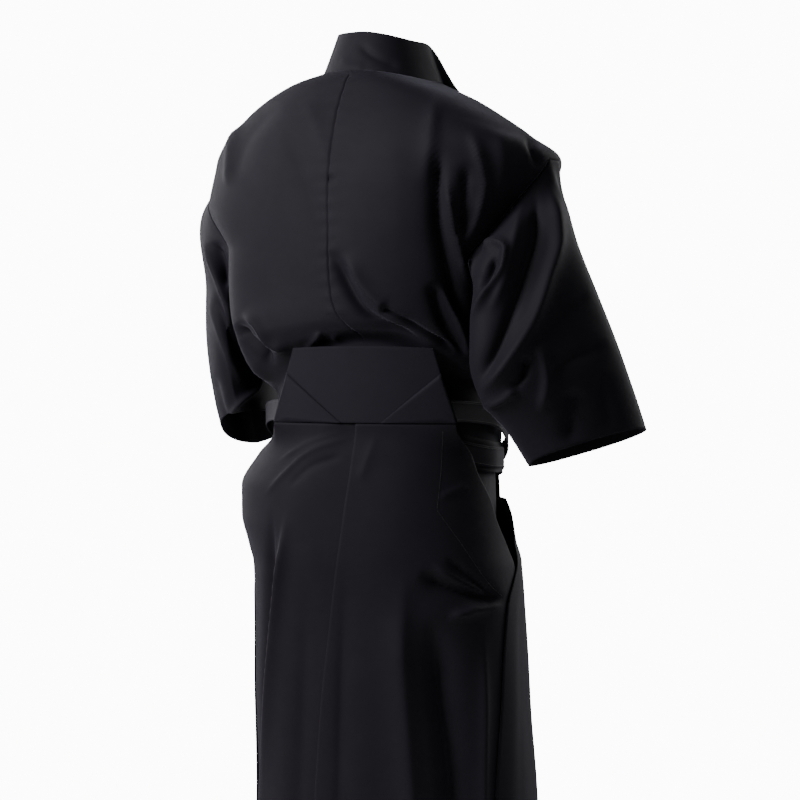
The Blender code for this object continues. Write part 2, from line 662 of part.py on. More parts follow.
def back_panel(side, heights, columns):
    """One back panel: the right one folds under at the centre line, and the left one passes beneath it."""
    rows = []
    for height in heights:
        fold_x = float(edge_at(height, "back_fold_x"))
        fold = angle_of_x(BACK_SKIRT, height, fold_x, False)
        edge = side * float(edge_at(height, "back_left" if side > 0 else "back_right"))
        lap = degrees_of(BACK_SKIRT, height, fold, PLEAT_DEPTH)
        if side < 0:
            angles = list(np.linspace(edge, fold - lap, columns)) + [fold - lap / 2, fold]
            stations = [(a, 0.0, 0.0) for a in angles]
            stations += [
                (fold, 0.0010, -PLEAT_TURN / 2),
                (fold, 0.0, -PLEAT_TURN),
                (fold, -PLEAT_DEPTH / 2, -PLEAT_TURN),
                (fold, -PLEAT_DEPTH, -PLEAT_TURN),
            ]
        else:
            under = -PLEAT_STEP
            stations = [(fold, -PLEAT_DEPTH, under), (fold, -PLEAT_DEPTH / 2, under), (fold, 0.0, under)]
            for a in np.linspace(fold, edge, columns)[1:]:
                share = (a - fold) / (edge - fold)
                stations.append((a, 0.0, under * (1 - ease(share / 0.35))))
        points = fold_path(BACK_SKIRT, height, stations)
        sewn = 1 - ease((BOARD_FOOT_HEIGHT - height) / 0.045)
        half = BOARD_BOTTOM_WIDTH / 2 - SEAM_GAP
        outs = np.array([station[2] for station in stations])
        x = np.clip(points[:, 0], -half, half)
        on_board = board_face(x, np.full(len(x), height), outs)
        points = points * (1 - sewn) + on_board * sewn
        rows.append(points)
    return np.array(rows)


def front_panel(side, heights, columns):
    """One front panel with its knife pleats; the right one folds under at the centre line."""
    rows = []
    for height in heights:
        outer = float(edge_at(height, "outer_pleat"))
        inner = float(edge_at(height, "inner_pleat"))
        centre_x = float(edge_at(height, "front_fold_x"))
        pleats = [angle_of_x(FRONT_SKIRT, height, side * x + centre_x, True) for x in (outer, inner)]
        centre = angle_of_x(FRONT_SKIRT, height, centre_x, True)
        edge = float(edge_at(height, "front_left" if side > 0 else "front_right"))
        edge = edge if side > 0 else 360 - edge
        toward = 1.0 if side > 0 else -1.0
        lap = 0.0022 * (1 - ease((height - SLIT_FOOT_HEIGHT) / 0.03))
        stations = []
        here = edge
        raised = 0.0
        for pleat in pleats:
            lap_turn = toward * degrees_of(FRONT_SKIRT, height, pleat, PLEAT_DEPTH)
            if here == edge:
                angles = [edge, edge + toward * 5, edge + toward * 10]
                angles += list(np.linspace(edge + toward * 16, pleat - lap_turn, columns)) + [pleat]
            else:
                angles = list(np.linspace(here, pleat - lap_turn, 4)) + [pleat]
            for a in angles:
                share = (a - here) / (pleat - here)
                out = raised * (1 - ease(share / 0.6))
                if here == edge:
                    out += lap * (1 - ease((abs(a - edge) - 10) / 10))
                stations.append((a, 0.0, out))
            stations += [
                (pleat, toward * 0.0009, -PLEAT_TURN / 2),
                (pleat, 0.0, -PLEAT_TURN),
                (pleat, -toward * PLEAT_DEPTH, -PLEAT_TURN),
                (pleat, -toward * (PLEAT_DEPTH + 0.0003), -(PLEAT_TURN + PLEAT_STEP) / 2),
                (pleat, -toward * PLEAT_DEPTH, -PLEAT_STEP),
            ]
            here, raised = pleat, -PLEAT_STEP
        if side < 0:
            last_lap = toward * degrees_of(FRONT_SKIRT, height, centre, 0.016)
            for a in (here, (here + centre - last_lap) / 2, centre - last_lap, centre):
                share = (a - here) / (centre - here)
                stations.append((a, 0.0, raised * (1 - ease(share / 0.6))))
            stations += [
                (centre, toward * 0.0009, -PLEAT_TURN / 2),
                (centre, 0.0, -PLEAT_TURN),
                (centre, -toward * 0.016, -PLEAT_TURN),
            ]
        else:
            for a in np.linspace(here, centre, 4):
                stations.append((a, 0.0, -PLEAT_STEP))
            stations.append((centre, toward * 0.016, -PLEAT_STEP))
        rows.append(fold_path(FRONT_SKIRT, height, stations))
    return np.array(rows)


def band_heights(angle, back, side, front):
    """The height of a band's middle round the waist, low in front and high behind."""
    cosine = np.cos(np.radians(angle))
    middle = np.where(cosine > 0, back, front)
    return middle * cosine**2 + side * (1 - cosine**2)


def waist_band(name, width, wall, stand, heights, material, start=0.0, end=360.0, count=44):
    """A flat band round the waist, stand off the jacket to its outer face."""
    closed = end - start >= 360
    angle = np.linspace(start, end, count, endpoint=not closed)
    front_lap = FRONT_OVERLAP * ease((np.abs((angle + 180) % 360 - 180) - 58) / 24)
    middle = band_heights(angle, *heights)
    edges = []
    for share in (-0.5, 0.0, 0.5):
        edges.append(body_at(middle + share * width, angle, front_lap + stand))
    return cloth(name, np.array(edges), wall, material, closed=closed)


def make_board(material):
    """The stiff trapezoid behind the waist, and the two folded tie ends sewn across its lower corners."""
    shares = np.linspace(0, 1, 5)
    across = np.linspace(-1, 1, 17)
    half = (BOARD_BOTTOM_WIDTH + (BOARD_TOP_WIDTH - BOARD_BOTTOM_WIDTH) * shares) / 2
    x = across[None, :] * half[:, None]
    arch = 0.003 * (1 - across[None, :] ** 2) * shares[:, None]
    height = BOARD_FOOT_HEIGHT + BOARD_HEIGHT * shares[:, None] + arch
    cloth("back_board", board_face(x, height), BOARD_WALL, material)
    for side, name in ((1, "board_corner_left"), (-1, "board_corner_right")):
        inner_x, top_rise = 0.027, 0.065
        slope = (BOARD_BOTTOM_WIDTH - BOARD_TOP_WIDTH) / 2 / BOARD_HEIGHT
        top_x = BOARD_BOTTOM_WIDTH / 2 - slope * top_rise
        corner_x = BOARD_BOTTOM_WIDTH / 2
        places = np.concatenate([np.linspace(inner_x, top_x, 6), np.linspace(top_x, corner_x, 3)[1:]])
        points, faces = [], []
        stand = 0.0012 + 0.0003
        for i, place in enumerate(places):
            if place <= top_x:
                rise = top_rise * (place - inner_x) / (top_x - inner_x)
            else:
                rise = (corner_x - place) / slope
            points.append(board_face(side * place, BOARD_FOOT_HEIGHT + 0.0003, stand))
            if 0 < i < len(places) - 1:
                points.append(board_face(side * place, BOARD_FOOT_HEIGHT + 0.0003 + rise, stand))
        last = len(points) - 1
        faces.append((0, 1, 2))
        for i in range(1, len(places) - 2):
            low = 2 * i - 1
            faces.append((low, low + 2, low + 3, low + 1))
        faces.append((last - 2, last, last - 1))
        if side > 0:
            faces = [face[::-1] for face in faces]
        walled(name, np.array(points), faces, 0.0012, material)


def make_back_ties(material):
    """The ties that run from the board's lower corners round the hips to the knot in front."""
    share = np.linspace(0, 1, 26)
    middle = smooth(share, [0, 0.12, 0.4, 0.72, 1], [0.991, 0.985, 0.952, 0.908, 0.888])
    stand = 0.0105 + 0.002 * (1 - share)
    away = ease(share / 0.16)[:, None]
    slope = (BOARD_BOTTOM_WIDTH - BOARD_TOP_WIDTH) / 2 / BOARD_HEIGHT
    for side, name in ((1, "back_tie_left"), (-1, "back_tie_right")):
        angle = side * (54 + 122 * share)
        front_lap = FRONT_OVERLAP * ease((np.abs(angle) - 58) / 24)
        edges = []
        for part in (-0.5, 0.0, 0.5):
            rise = middle[0] + part * TIE_WIDTH - BOARD_FOOT_HEIGHT
            edge_x = side * (BOARD_BOTTOM_WIDTH / 2 - slope * rise + 2 * SEAM_GAP)
            start = board_face(edge_x, middle[0] + part * TIE_WIDTH, -0.001)
            band = body_at(middle + part * TIE_WIDTH, angle, front_lap + stand)
            shift = (share * 0.02 * side)[:, None] * [1, 0, 0]
            edges.append((start + shift) * (1 - away) + band * away)
        cloth(name, np.array(edges), TIE_WALL, material)


def make_knot(material):
    """The flat square knot in front, with its two hanging ends."""
    place = body_at(np.array([0.886]), np.array([180.0]), np.array([0.0]))[0]
    knot = bpy.data.meshes.new("tie_knot")
    holder = bpy.data.objects.new("tie_knot", knot)
    GARMENT.objects.link(holder)
    shape = bmesh.new()
    bmesh.ops.create_cube(shape, size=1.0)
    for corner in shape.verts:
        corner.co = (corner.co.x * 0.034, corner.co.y * 0.014, corner.co.z * 0.040)
    shape.to_mesh(knot)
    shape.free()
    knot.materials.append(material)
    holder.location = (place[0], place[1] - FRONT_OVERLAP - 0.0178, place[2])
    edge = holder.modifiers.new("Soft edge", "BEVEL")
    edge.width = 0.004
    edge.segments = 2


def make_tie_ends(material):
    """The two ends that hang from the knot, flat over the front pleats."""
    heights = np.linspace(0.8656, 0.8656 - TIE_END_LENGTH, 8)
    knot_y = body_at(np.array([0.886]), np.array([180.0]), np.array([0.0]))[0][1] - FRONT_OVERLAP - 0.0178
    for side, name in ((1, "tie_end_left"), (-1, "tie_end_right")):
        rows = []
        for height in heights:
            spread = side * (0.019 + 0.10 * (heights[0] - height))
            places = [spread - TIE_WIDTH / 2, spread, spread + TIE_WIDTH / 2]
            angles = np.array([angle_of_x(FRONT_SKIRT, height, x, True) for x in places])
            row = skirt(FRONT_SKIRT, height, angles, 0.0030)
            near = float(ease(1 - (heights[0] - height) / 0.05))
            row[:, 1] = row[:, 1] * (1 - near) + knot_y * near
            rows.append(row)
        cloth(name, np.array(rows), TIE_WALL, material)


def build():
    black = make_material("black_polyester_twill", (0.012, 0.012, 0.014), 0.55)
    stiff = make_material("black_board_cover", (0.014, 0.014, 0.016), 0.6)
    halves = {}
    for side, name in ((1, "jacket_left"), (-1, "jacket_right")):
        grid, hole = half_body(side, *ROWS, *COLUMNS)
        halves[side] = (grid, hole)
        cloth(name, grid, JACKET_WALL, black, hole=hole)
    for side, name in ((1, "sleeve_left"), (-1, "sleeve_right")):
        grid, hole = halves[side]
        sleeve, centre = dressed_sleeve(side, grid, hole, 26, 2)
        cloth(name, sleeve, JACKET_WALL, black, closed=True, facing_axis=centre)
    levels = body_levels(*ROWS)
    top = half_angles(levels, 1, *COLUMNS)[-1]
    neck_angles = np.concatenate([top[::-1], -top])
    cloth("collar", collar_grid(levels[levels >= 1.0], neck_angles, 4)[::2], COLLAR_WALL, black)
    waist_band("sash", SASH_WIDTH, SASH_WALL, 0.0036, (0.972, 0.936, 0.902), black)
    waist_band("front_tie", TIE_WIDTH, TIE_WALL, 0.0058, (0.955, 0.925, 0.884), black)
    back_heights = [BOARD_FOOT_HEIGHT - 0.0008, 0.958, 0.935, 0.91, 0.885, 0.86, 0.832, 0.806, SLIT_FOOT_HEIGHT]
    front_heights = [FRONT_TOP_HEIGHT, 0.852, 0.835, 0.815, 0.797, SLIT_FOOT_HEIGHT]
    below_slit = [0.757, 0.715, 0.64, 0.54, 0.44, 0.34, 0.24, 0.155, HEM_HEIGHT]
    back_heights, front_heights = back_heights + below_slit, front_heights + below_slit
    for side, which in ((1, "left"), (-1, "right")):
        cloth(f"hakama_back_{which}", back_panel(side, back_heights, 13), SKIRT_WALL, black)
        cloth(f"hakama_front_{which}", front_panel(side, front_heights, 6), SKIRT_WALL, black)
    make_board(stiff)
    make_back_ties(black)
    make_knot(black)
    make_tie_ends(black)


for item in list(bpy.data.objects):
    bpy.data.objects.remove(item, do_unlink=True)
GARMENT = bpy.data.collections.new("iaido_gi")
bpy.context.scene.collection.children.link(GARMENT)
build()
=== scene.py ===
"""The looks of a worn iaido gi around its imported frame: jacket, sash, and hakama with its board and ties.

Metres, +Z up, the front faces -Y and the wearer's left is +X. Heights are counted from the wearer's ground,
CARRY_HEIGHT below the origin.
"""

import math
from typing import NamedTuple

import bpy
import numpy as np
from bpy.props import FloatProperty, FloatVectorProperty, PointerProperty
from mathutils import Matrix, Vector
from mathutils.bvhtree import BVHTree
from mathutils.kdtree import KDTree


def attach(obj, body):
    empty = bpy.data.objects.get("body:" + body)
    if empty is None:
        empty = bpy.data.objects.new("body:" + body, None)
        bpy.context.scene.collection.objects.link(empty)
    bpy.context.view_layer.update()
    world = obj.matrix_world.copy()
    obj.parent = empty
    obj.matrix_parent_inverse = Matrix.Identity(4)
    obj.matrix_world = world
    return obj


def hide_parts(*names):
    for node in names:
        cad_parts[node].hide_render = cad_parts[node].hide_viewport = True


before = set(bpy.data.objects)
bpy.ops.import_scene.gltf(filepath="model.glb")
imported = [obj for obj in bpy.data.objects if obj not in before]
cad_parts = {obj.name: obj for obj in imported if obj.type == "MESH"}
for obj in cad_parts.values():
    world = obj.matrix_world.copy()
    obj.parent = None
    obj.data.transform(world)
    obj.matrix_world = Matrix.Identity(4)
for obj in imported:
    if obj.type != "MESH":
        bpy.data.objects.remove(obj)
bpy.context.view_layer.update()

bl_info = {
    "name": "Worn iaido gi",
    "version": (1, 0, 0),
    "blender": (4, 5, 0),
    "location": "View3D > Sidebar > Iaido gi",
    "description": "Builds the jacket, sash and hakama of a worn iaido gi, and a plain studio for them",
    "category": "Object",
}

# Driving sizes, as in the frame, but for the collar's and the armholes' gaps: nearly closed here
CARRY_HEIGHT = 1.440
SEAM_GAP = 0.0004
UNDER_COLLAR_SINK = 0.0046
FRONT_OVERLAP = 0.0066
TIE_END_LENGTH = 0.150
BOARD_BOTTOM_WIDTH = 0.248
BOARD_TOP_WIDTH = 0.190
BOARD_HEIGHT = 0.098
BOARD_FOOT_HEIGHT = 0.975
BOARD_REACH = 0.141
BOARD_CURVE = 0.020
HEM_HEIGHT = 0.085
SLIT_FOOT_HEIGHT = 0.780
FRONT_TOP_HEIGHT = 0.866
SLEEVE_CLEARANCE = 0.0035
COLLAR_GAP = 0.0002
ARMHOLE_GAP = 0.0002
ARMHOLE_STEP = 0.0009
UNDERARM_STEP = 0.0032
ROUND = 2.4
KNOT_HEIGHT = 0.886
KNOT_STAND = 0.0178

# The studio camera: round from the front, above the level, and how much of its picture a pixel takes
CAMERA_TURN = 194.0
CAMERA_RISE = 2.0
CAMERA_AWAY = 3.5
AIM = (-0.0172, -0.0043, 1.0006)
VIEW_HEIGHT = 1.088
PIXEL = VIEW_HEIGHT / 800

# What share of their listed widths the folds are drawn at
FOLD_CRISPNESS = 0.86
# A fold's section: how round its crest is, and how fast its flanks fall away, in its own half widths
CREASE_ROUND = 0.45
CREASE_TAIL = 1.75

# The jacket's rows below, beside and above the armhole, and its columns behind, at and before it
ROWS = (84, 40, 30)
COLUMNS = (64, 30, 44)

# The floor's reach and its number of sides, and how bright the white behind the object is to the camera
FLOOR_REACH = 2.2
FLOOR_SIDES = 96
BACKDROP_GLOW = 12.0


class Ring(NamedTuple):
    """One ring of the jacket's body: heights above the ground, reaches from its axis, and its turn."""

    name: str
    back_height: float
    left_height: float
    right_height: float
    front_height: float
    back: float
    left: float
    right: float
    front: float
    turn: float
    corner: float
    front_edge: float


JACKET = [
    Ring("hem", 0.750, 0.750, 0.750, 0.750, 0.120, 0.150, 0.150, 0.118, 0, 2.4, 229),
    Ring("seat", 0.860, 0.855, 0.855, 0.845, 0.122, 0.148, 0.148, 0.118, 0, 2.4, 226),
    Ring("sash", 0.950, 0.935, 0.935, 0.895, 0.122, 0.146, 0.146, 0.118, 0, 2.4, 222),
    Ring("tuck", 1.079, 1.000, 0.998, 0.948, 0.122, 0.147, 0.147, 0.120, 0, 2.4, 217),
    Ring("roll", 1.098, 1.030, 1.030, 0.974, 0.139, 0.172, 0.160, 0.136, 5, 3.0, 211),
    Ring("blouse", 1.112, 1.066, 1.064, 1.005, 0.148, 0.186, 0.170, 0.145, 10, 4.0, 205),
    Ring("slack", 1.134, 1.112, 1.106, 1.050, 0.151, 0.188, 0.172, 0.146, 14, 5.2, 196),
    Ring("ribs", 1.167, 1.158, 1.145, 1.110, 0.151, 0.188, 0.176, 0.140, 16, 5.6, 186),
    Ring("armpit", 1.207, 1.200, 1.180, 1.165, 0.150, 0.190, 0.186, 0.134, 17, 5.2, 176),
    Ring("blade", 1.290, 1.262, 1.252, 1.240, 0.146, 0.250, 0.222, 0.124, 18, 3.2, 168),
    Ring("tip", 1.360, 1.312, 1.318, 1.305, 0.132, 0.253, 0.258, 0.108, 18, 2.6, 160),
    Ring("shoulder", 1.402, 1.386, 1.354, 1.350, 0.113, 0.205, 0.214, 0.092, 19, 2.4, 150),
    Ring("slope", 1.429, 1.425, 1.398, 1.385, 0.097, 0.140, 0.142, 0.080, 19, 2.4, 134),
    Ring("neck", 1.4415, 1.441, 1.429, 1.414, 0.083, 0.083, 0.076, 0.072, 20, 2.2, 116),
]
NAMES = [ring.name for ring in JACKET]
TUCK, ARMPIT, TIP, NECK = (NAMES.index(name) for name in ("tuck", "armpit", "tip", "neck"))


class ArmholeEdge(NamedTuple):
    """Where an armhole's two seams cross a ring, in degrees round from the centre back."""

    level: int
    left_rear: float
    left_fore: float
    right_rear: float
    right_fore: float


ARMHOLE = [
    ArmholeEdge(ARMPIT, 55, 118, 58, 120),
    ArmholeEdge(ARMPIT + 1, 59, 108, 73, 111),
    ArmholeEdge(TIP, 84, 97, 84, 97),
]


class SleeveRing(NamedTuple):
    """One ring of a sleeve, through its upper crease, its outer side, its underarm and its inner side."""

    crease: tuple
    outer: tuple
    under: tuple
    inner: tuple


RIGHT_SLEEVE = [
    SleeveRing(
        (-0.252, 0.060, 1.262), (-0.216, 0.134, 1.232),
        (-0.149, 0.134, 1.150), (-0.212, -0.004, 1.150),
    ),
    SleeveRing(
        (-0.266, 0.045, 1.206), (-0.232, 0.138, 1.178),
        (-0.146, 0.141, 1.108), (-0.211, 0.001, 1.114),
    ),
    SleeveRing(
        (-0.289, 0.035, 1.140), (-0.250, 0.136, 1.122),
        (-0.146, 0.145, 1.058), (-0.216, 0.006, 1.072),
    ),
    SleeveRing(
        (-0.320, 0.022, 1.057), (-0.273, 0.127, 1.054),
        (-0.160, 0.135, 1.005), (-0.236, 0.004, 1.012),
    ),
    SleeveRing(
        (-0.339, 0.012, 1.005), (-0.290, 0.112, 1.002),
        (-0.190, 0.110, 0.964), (-0.250, 0.000, 0.968),
    ),
    SleeveRing(
        (-0.354, 0.004, 0.962), (-0.302, 0.098, 0.955),
        (-0.215, 0.085, 0.921), (-0.262, -0.006, 0.929),
    ),
]
LEFT_SLEEVE = [
    SleeveRing((0.264, -0.140, 1.246), (0.283, -0.050, 1.232), (0.216, 0.028, 1.168), (0.192, -0.102, 1.156)),
    SleeveRing((0.264, -0.152, 1.178), (0.277, -0.060, 1.170), (0.217, 0.030, 1.114), (0.195, -0.112, 1.110)),
    SleeveRing((0.262, -0.165, 1.102), (0.279, -0.070, 1.098), (0.218, 0.024, 1.060), (0.196, -0.118, 1.060)),
    SleeveRing((0.257, -0.176, 1.026), (0.276, -0.080, 1.030), (0.216, 0.014, 1.020), (0.192, -0.122, 1.014)),
    SleeveRing((0.251, -0.184, 0.978), (0.272, -0.088, 0.988), (0.213, 0.005, 0.998), (0.188, -0.118, 0.988)),
    SleeveRing(
        (0.243, -0.190, 0.930), (0.266, -0.094, 0.954),
        (0.209, -0.004, 0.982), (0.184, -0.112, 0.966),
    ),
]


class SkirtRing(NamedTuple):
    """One ring of the hakama: height above the ground, reaches from its axis, and where the axis lies."""

    height: float
    left: float
    right: float
    back: float
    front: float
    axis_x: float
    axis_y: float


BACK_SKIRT = [
    SkirtRing(HEM_HEIGHT, 0.206, 0.208, 0.186, 0.182, -0.014, -0.030),
    SkirtRing(0.250, 0.196, 0.199, 0.176, 0.176, -0.012, -0.025),
    SkirtRing(0.460, 0.188, 0.191, 0.169, 0.170, -0.010, -0.018),
    SkirtRing(0.600, 0.184, 0.187, 0.165, 0.165, -0.006, -0.010),
    SkirtRing(0.730, 0.181, 0.183, 0.162, 0.158, -0.003, -0.004),
    SkirtRing(0.780, 0.180, 0.181, 0.162, 0.154, -0.001, -0.001),
    SkirtRing(0.808, 0.186, 0.177, 0.161, 0.152, 0.000, 0.000),
    SkirtRing(0.845, 0.196, 0.172, 0.159, 0.148, 0.000, 0.000),
    SkirtRing(0.885, 0.197, 0.166, 0.155, 0.143, 0.000, 0.000),
    SkirtRing(0.930, 0.174, 0.159, 0.147, 0.138, 0.000, 0.000),
    SkirtRing(0.972, 0.152, 0.152, 0.139, 0.136, 0.000, 0.000),
]
FRONT_SKIRT = [
    SkirtRing(HEM_HEIGHT, 0.206, 0.208, 0.186, 0.184, -0.014, -0.030),
    SkirtRing(0.250, 0.196, 0.199, 0.176, 0.177, -0.012, -0.025),
    SkirtRing(0.460, 0.188, 0.191, 0.169, 0.171, -0.010, -0.018),
    SkirtRing(0.600, 0.184, 0.187, 0.165, 0.166, -0.006, -0.010),
    SkirtRing(0.730, 0.181, 0.183, 0.162, 0.159, -0.003, -0.004),
    SkirtRing(0.780, 0.180, 0.181, 0.162, 0.154, -0.001, -0.001),
    SkirtRing(0.808, 0.174, 0.175, 0.161, 0.149, 0.000, 0.000),
    SkirtRing(0.845, 0.166, 0.169, 0.159, 0.142, 0.000, 0.000),
    SkirtRing(0.870, 0.158, 0.160, 0.155, 0.132, 0.000, 0.000),
]


class SkirtEdge(NamedTuple):
    """Lines down the hakama at one height: the folds' x, and the side edges in degrees from the back."""

    height: float
    back_fold_x: float
    front_fold_x: float
    back_left: float
    back_right: float
    front_left: float
    front_right: float
    inner_pleat: float
    outer_pleat: float


SKIRT_EDGES = [
    SkirtEdge(HEM_HEIGHT, 0.088, 0.012, 62, 54, 54, 46, 0.070, 0.128),
    SkirtEdge(0.250, 0.078, 0.009, 66, 56, 58, 48, 0.061, 0.113),
    SkirtEdge(0.460, 0.064, 0.006, 72, 60, 64, 52, 0.053, 0.098),
    SkirtEdge(0.600, 0.052, 0.004, 77, 67, 69, 59, 0.048, 0.089),
    SkirtEdge(0.730, 0.036, 0.002, 82, 76, 74, 68, 0.044, 0.081),
    SkirtEdge(0.780, 0.029, 0.001, 84, 82, 86, 84, 0.042, 0.078),
    SkirtEdge(0.800, 0.026, 0.001, 83, 79, 92, 92, 0.041, 0.077),
    SkirtEdge(0.845, 0.020, 0.000, 79, 69, 104, 104, 0.039, 0.074),
    SkirtEdge(0.870, 0.017, 0.000, 74, 66, 110, 110, 0.038, 0.072),
    SkirtEdge(0.910, 0.012, 0.000, 66, 58, 110, 110, 0.037, 0.070),
    SkirtEdge(0.972, 0.006, 0.000, 52, 52, 110, 110, 0.036, 0.068),
]
PLEAT_DEPTH = 0.020
PLEAT_TURN = 0.0036
PLEAT_STEP = 0.0046


def seen(*places):
    """Places in the studio camera's 800 wide picture, as metres across and above its ground at the aim."""
    return [((x - 400) * PIXEL, AIM[2] + (400 - y) * PIXEL) for x, y in places]


class Fold(NamedTuple):
    """A ridge, or a trough where rise is below 0, along a line seen from one side of the wearer.

    The first width is its half width to the left of a line that runs down, or below one that runs right.
    """

    line: list
    rise: float
    widths: tuple
    fades: tuple = (0.25, 0.25)


JACKET_BACK_FOLDS = [
    # from the right shoulder down beside the blade
    Fold(seen((438, 92), (434, 118), (431, 150), (428, 190)), 0.0040, (0.016, 0.009)),
    Fold(
        seen((437, 146), (437, 180), (438, 214), (449, 272), (463, 325)),
        -0.0098, (0.014, 0.011), (0.15, 0.2),
    ),
    Fold(seen((445, 174), (451, 210), (460, 255), (471, 292)), 0.0065, (0.005, 0.006)),
    Fold(seen((466, 160), (465, 195), (457, 240)), -0.0060, (0.009, 0.010)),
    Fold(seen((468, 126), (478, 153), (484, 185), (477, 215), (460, 252)), 0.0060, (0.007, 0.011)),
    Fold(seen((498, 128), (502, 160), (497, 200)), 0.0025, (0.014, 0.014)),
    Fold(seen((527, 134), (533, 150), (540, 168)), -0.0040, (0.006, 0.006)),
    # across the small of the back to the board's right corner
    Fold(
        seen((330, 245), (343, 278), (363, 311), (384, 327), (408, 339), (434, 350)),
        -0.0085, (0.009, 0.014),
    ),
    Fold(seen((343, 250), (362, 287), (388, 311), (416, 326)), 0.0045, (0.010, 0.014)),
    Fold(seen((379, 307), (405, 321), (436, 340), (458, 354)), -0.0085, (0.006, 0.009), (0.08, 0.2)),
    Fold(seen((431, 281), (440, 311), (452, 335), (468, 359)), -0.0075, (0.009, 0.009), (0.15, 0.2)),
    Fold(seen((440, 281), (452, 308), (463, 335), (472, 360)), 0.0045, (0.005, 0.006)),
    # the soft drag from the left shoulder to the centre seam
    Fold(seen((283, 124), (300, 165), (317, 215), (333, 252)), -0.0017, (0.016, 0.018)),
    Fold(seen((306, 96), (318, 130), (328, 165)), 0.0010, (0.012, 0.012)),
    Fold(seen((327, 181), (334, 177)), -0.0020, (0.004, 0.005)),
    Fold(seen((392, 130), (398, 190), (396, 250)), 0.0010, (0.030, 0.030)),
    # the left shoulder, and the long edge beside the sleeve
    Fold(seen((283, 103), (259, 124), (242, 150), (234, 184)), -0.0018, (0.014, 0.015)),
    Fold(seen((240, 118), (230, 150), (227, 190)), 0.0040, (0.008, 0.008)),
    # the slack that rolls over the waist on the left
    Fold(seen((236, 322), (247, 340), (262, 353), (275, 368)), -0.0120, (0.007, 0.008)),
    Fold(seen((240, 313), (254, 323), (270, 344), (292, 352)), 0.0060, (0.006, 0.011)),
    Fold(seen((229, 318), (237, 345), (252, 363), (270, 378), (286, 386)), 0.0050, (0.006, 0.006)),
    Fold(seen((322, 330), (314, 340), (306, 351)), 0.0040, (0.004, 0.006)),
    Fold(seen((330, 334), (342, 343), (356, 349)), 0.0030, (0.004, 0.006)),
]
JACKET_FRONT_FOLDS = [
    Fold([(-0.150, 1.330), (-0.118, 1.240), (-0.070, 1.120), (-0.040, 1.020)], -0.0060, (0.012, 0.014)),
    Fold([(-0.128, 1.345), (-0.090, 1.230), (-0.045, 1.110)], 0.0040, (0.012, 0.010)),
    Fold([(0.160, 1.320), (0.128, 1.220), (0.080, 1.110), (0.030, 1.010)], -0.0070, (0.012, 0.014)),
    Fold([(0.135, 1.350), (0.100, 1.260), (0.060, 1.160)], 0.0040, (0.012, 0.012)),
    Fold([(0.120, 1.110), (0.105, 1.050), (0.085, 0.990)], -0.0060, (0.008, 0.010)),
    Fold([(-0.120, 1.105), (-0.104, 1.050), (-0.080, 0.992)], -0.0060, (0.010, 0.008)),
    Fold([(0.045, 1.080), (0.040, 1.030), (0.030, 0.985)], 0.0040, (0.008, 0.010)),
]
JACKET_SIDE_FOLDS = [
    Fold([(-0.050, 1.170), (-0.040, 1.100), (-0.060, 1.040)], -0.0060, (0.012, 0.010)),
    Fold([(0.030, 1.180), (0.020, 1.110), (0.045, 1.040)], -0.0060, (0.010, 0.012)),
]
RIGHT_SLEEVE_FOLDS = [
    Fold(seen((549, 182), (552, 206), (555, 240), (546, 276), (532, 318), (515, 347), (496, 374), (477, 399)),
         0.0095, (0.009, 0.018), (0.15, 0.15)),
    Fold(
        seen((534, 184), (538, 228), (528, 268), (513, 312), (497, 352), (477, 387)),
        -0.0080, (0.013, 0.011), (0.2, 0.15),
    ),
    Fold(seen((526, 190), (514, 240), (503, 283), (487, 318)), 0.0040, (0.012, 0.010)),
    Fold(
        seen((483, 253), (494, 242), (505, 247), (502, 266), (488, 289), (471, 320)),
        0.0070, (0.005, 0.006), (0.1, 0.25),
    ),
    Fold(seen((495, 256), (490, 272), (479, 288)), -0.0080, (0.008, 0.008)),
    Fold(seen((528, 340), (540, 355), (545, 381), (539, 416)), 0.0055, (0.006, 0.013)),
    Fold(seen((527, 354), (524, 375), (512, 394)), -0.0080, (0.009, 0.006)),
    Fold(seen((478, 409), (500, 401), (518, 387), (530, 375)), 0.0045, (0.006, 0.006)),
    Fold(seen((545, 378), (573, 358), (610, 342)), -0.0030, (0.012, 0.007)),
    Fold(seen((553, 317), (590, 292)), -0.0015, (0.009, 0.007)),
    Fold(seen((572, 385), (570, 445)), -0.0060, (0.014, 0.018)),
    Fold(seen((600, 370), (612, 432)), -0.0020, (0.012, 0.012)),
]
LEFT_SLEEVE_FOLDS = [
    Fold(seen((202, 236), (213, 266), (228, 312), (232, 334)), 0.0050, (0.006, 0.007)),
    Fold(seen((213, 240), (221, 262), (228, 290)), -0.0085, (0.008, 0.009)),
    Fold(seen((205, 288), (217, 322), (232, 364), (248, 394)), 0.0040, (0.008, 0.012)),
    Fold(seen((214, 292), (228, 330), (246, 368)), -0.0035, (0.008, 0.010)),
    Fold(seen((262, 366), (256, 388), (240, 402), (228, 420)), 0.0045, (0.006, 0.007)),
    Fold(seen((212, 372), (221, 408), (233, 432)), -0.0030, (0.009, 0.008)),
]
OUTER_SLEEVE_FOLDS = [
    Fold([(-0.060, 1.260), (-0.070, 1.180), (-0.120, 1.080)], -0.0050, (0.012, 0.012)),
    Fold([(-0.030, 1.160), (-0.080, 1.060), (-0.100, 0.980)], 0.0045, (0.012, 0.012)),
    Fold([(0.010, 1.120), (-0.040, 1.040)], -0.0050, (0.009, 0.010)),
]
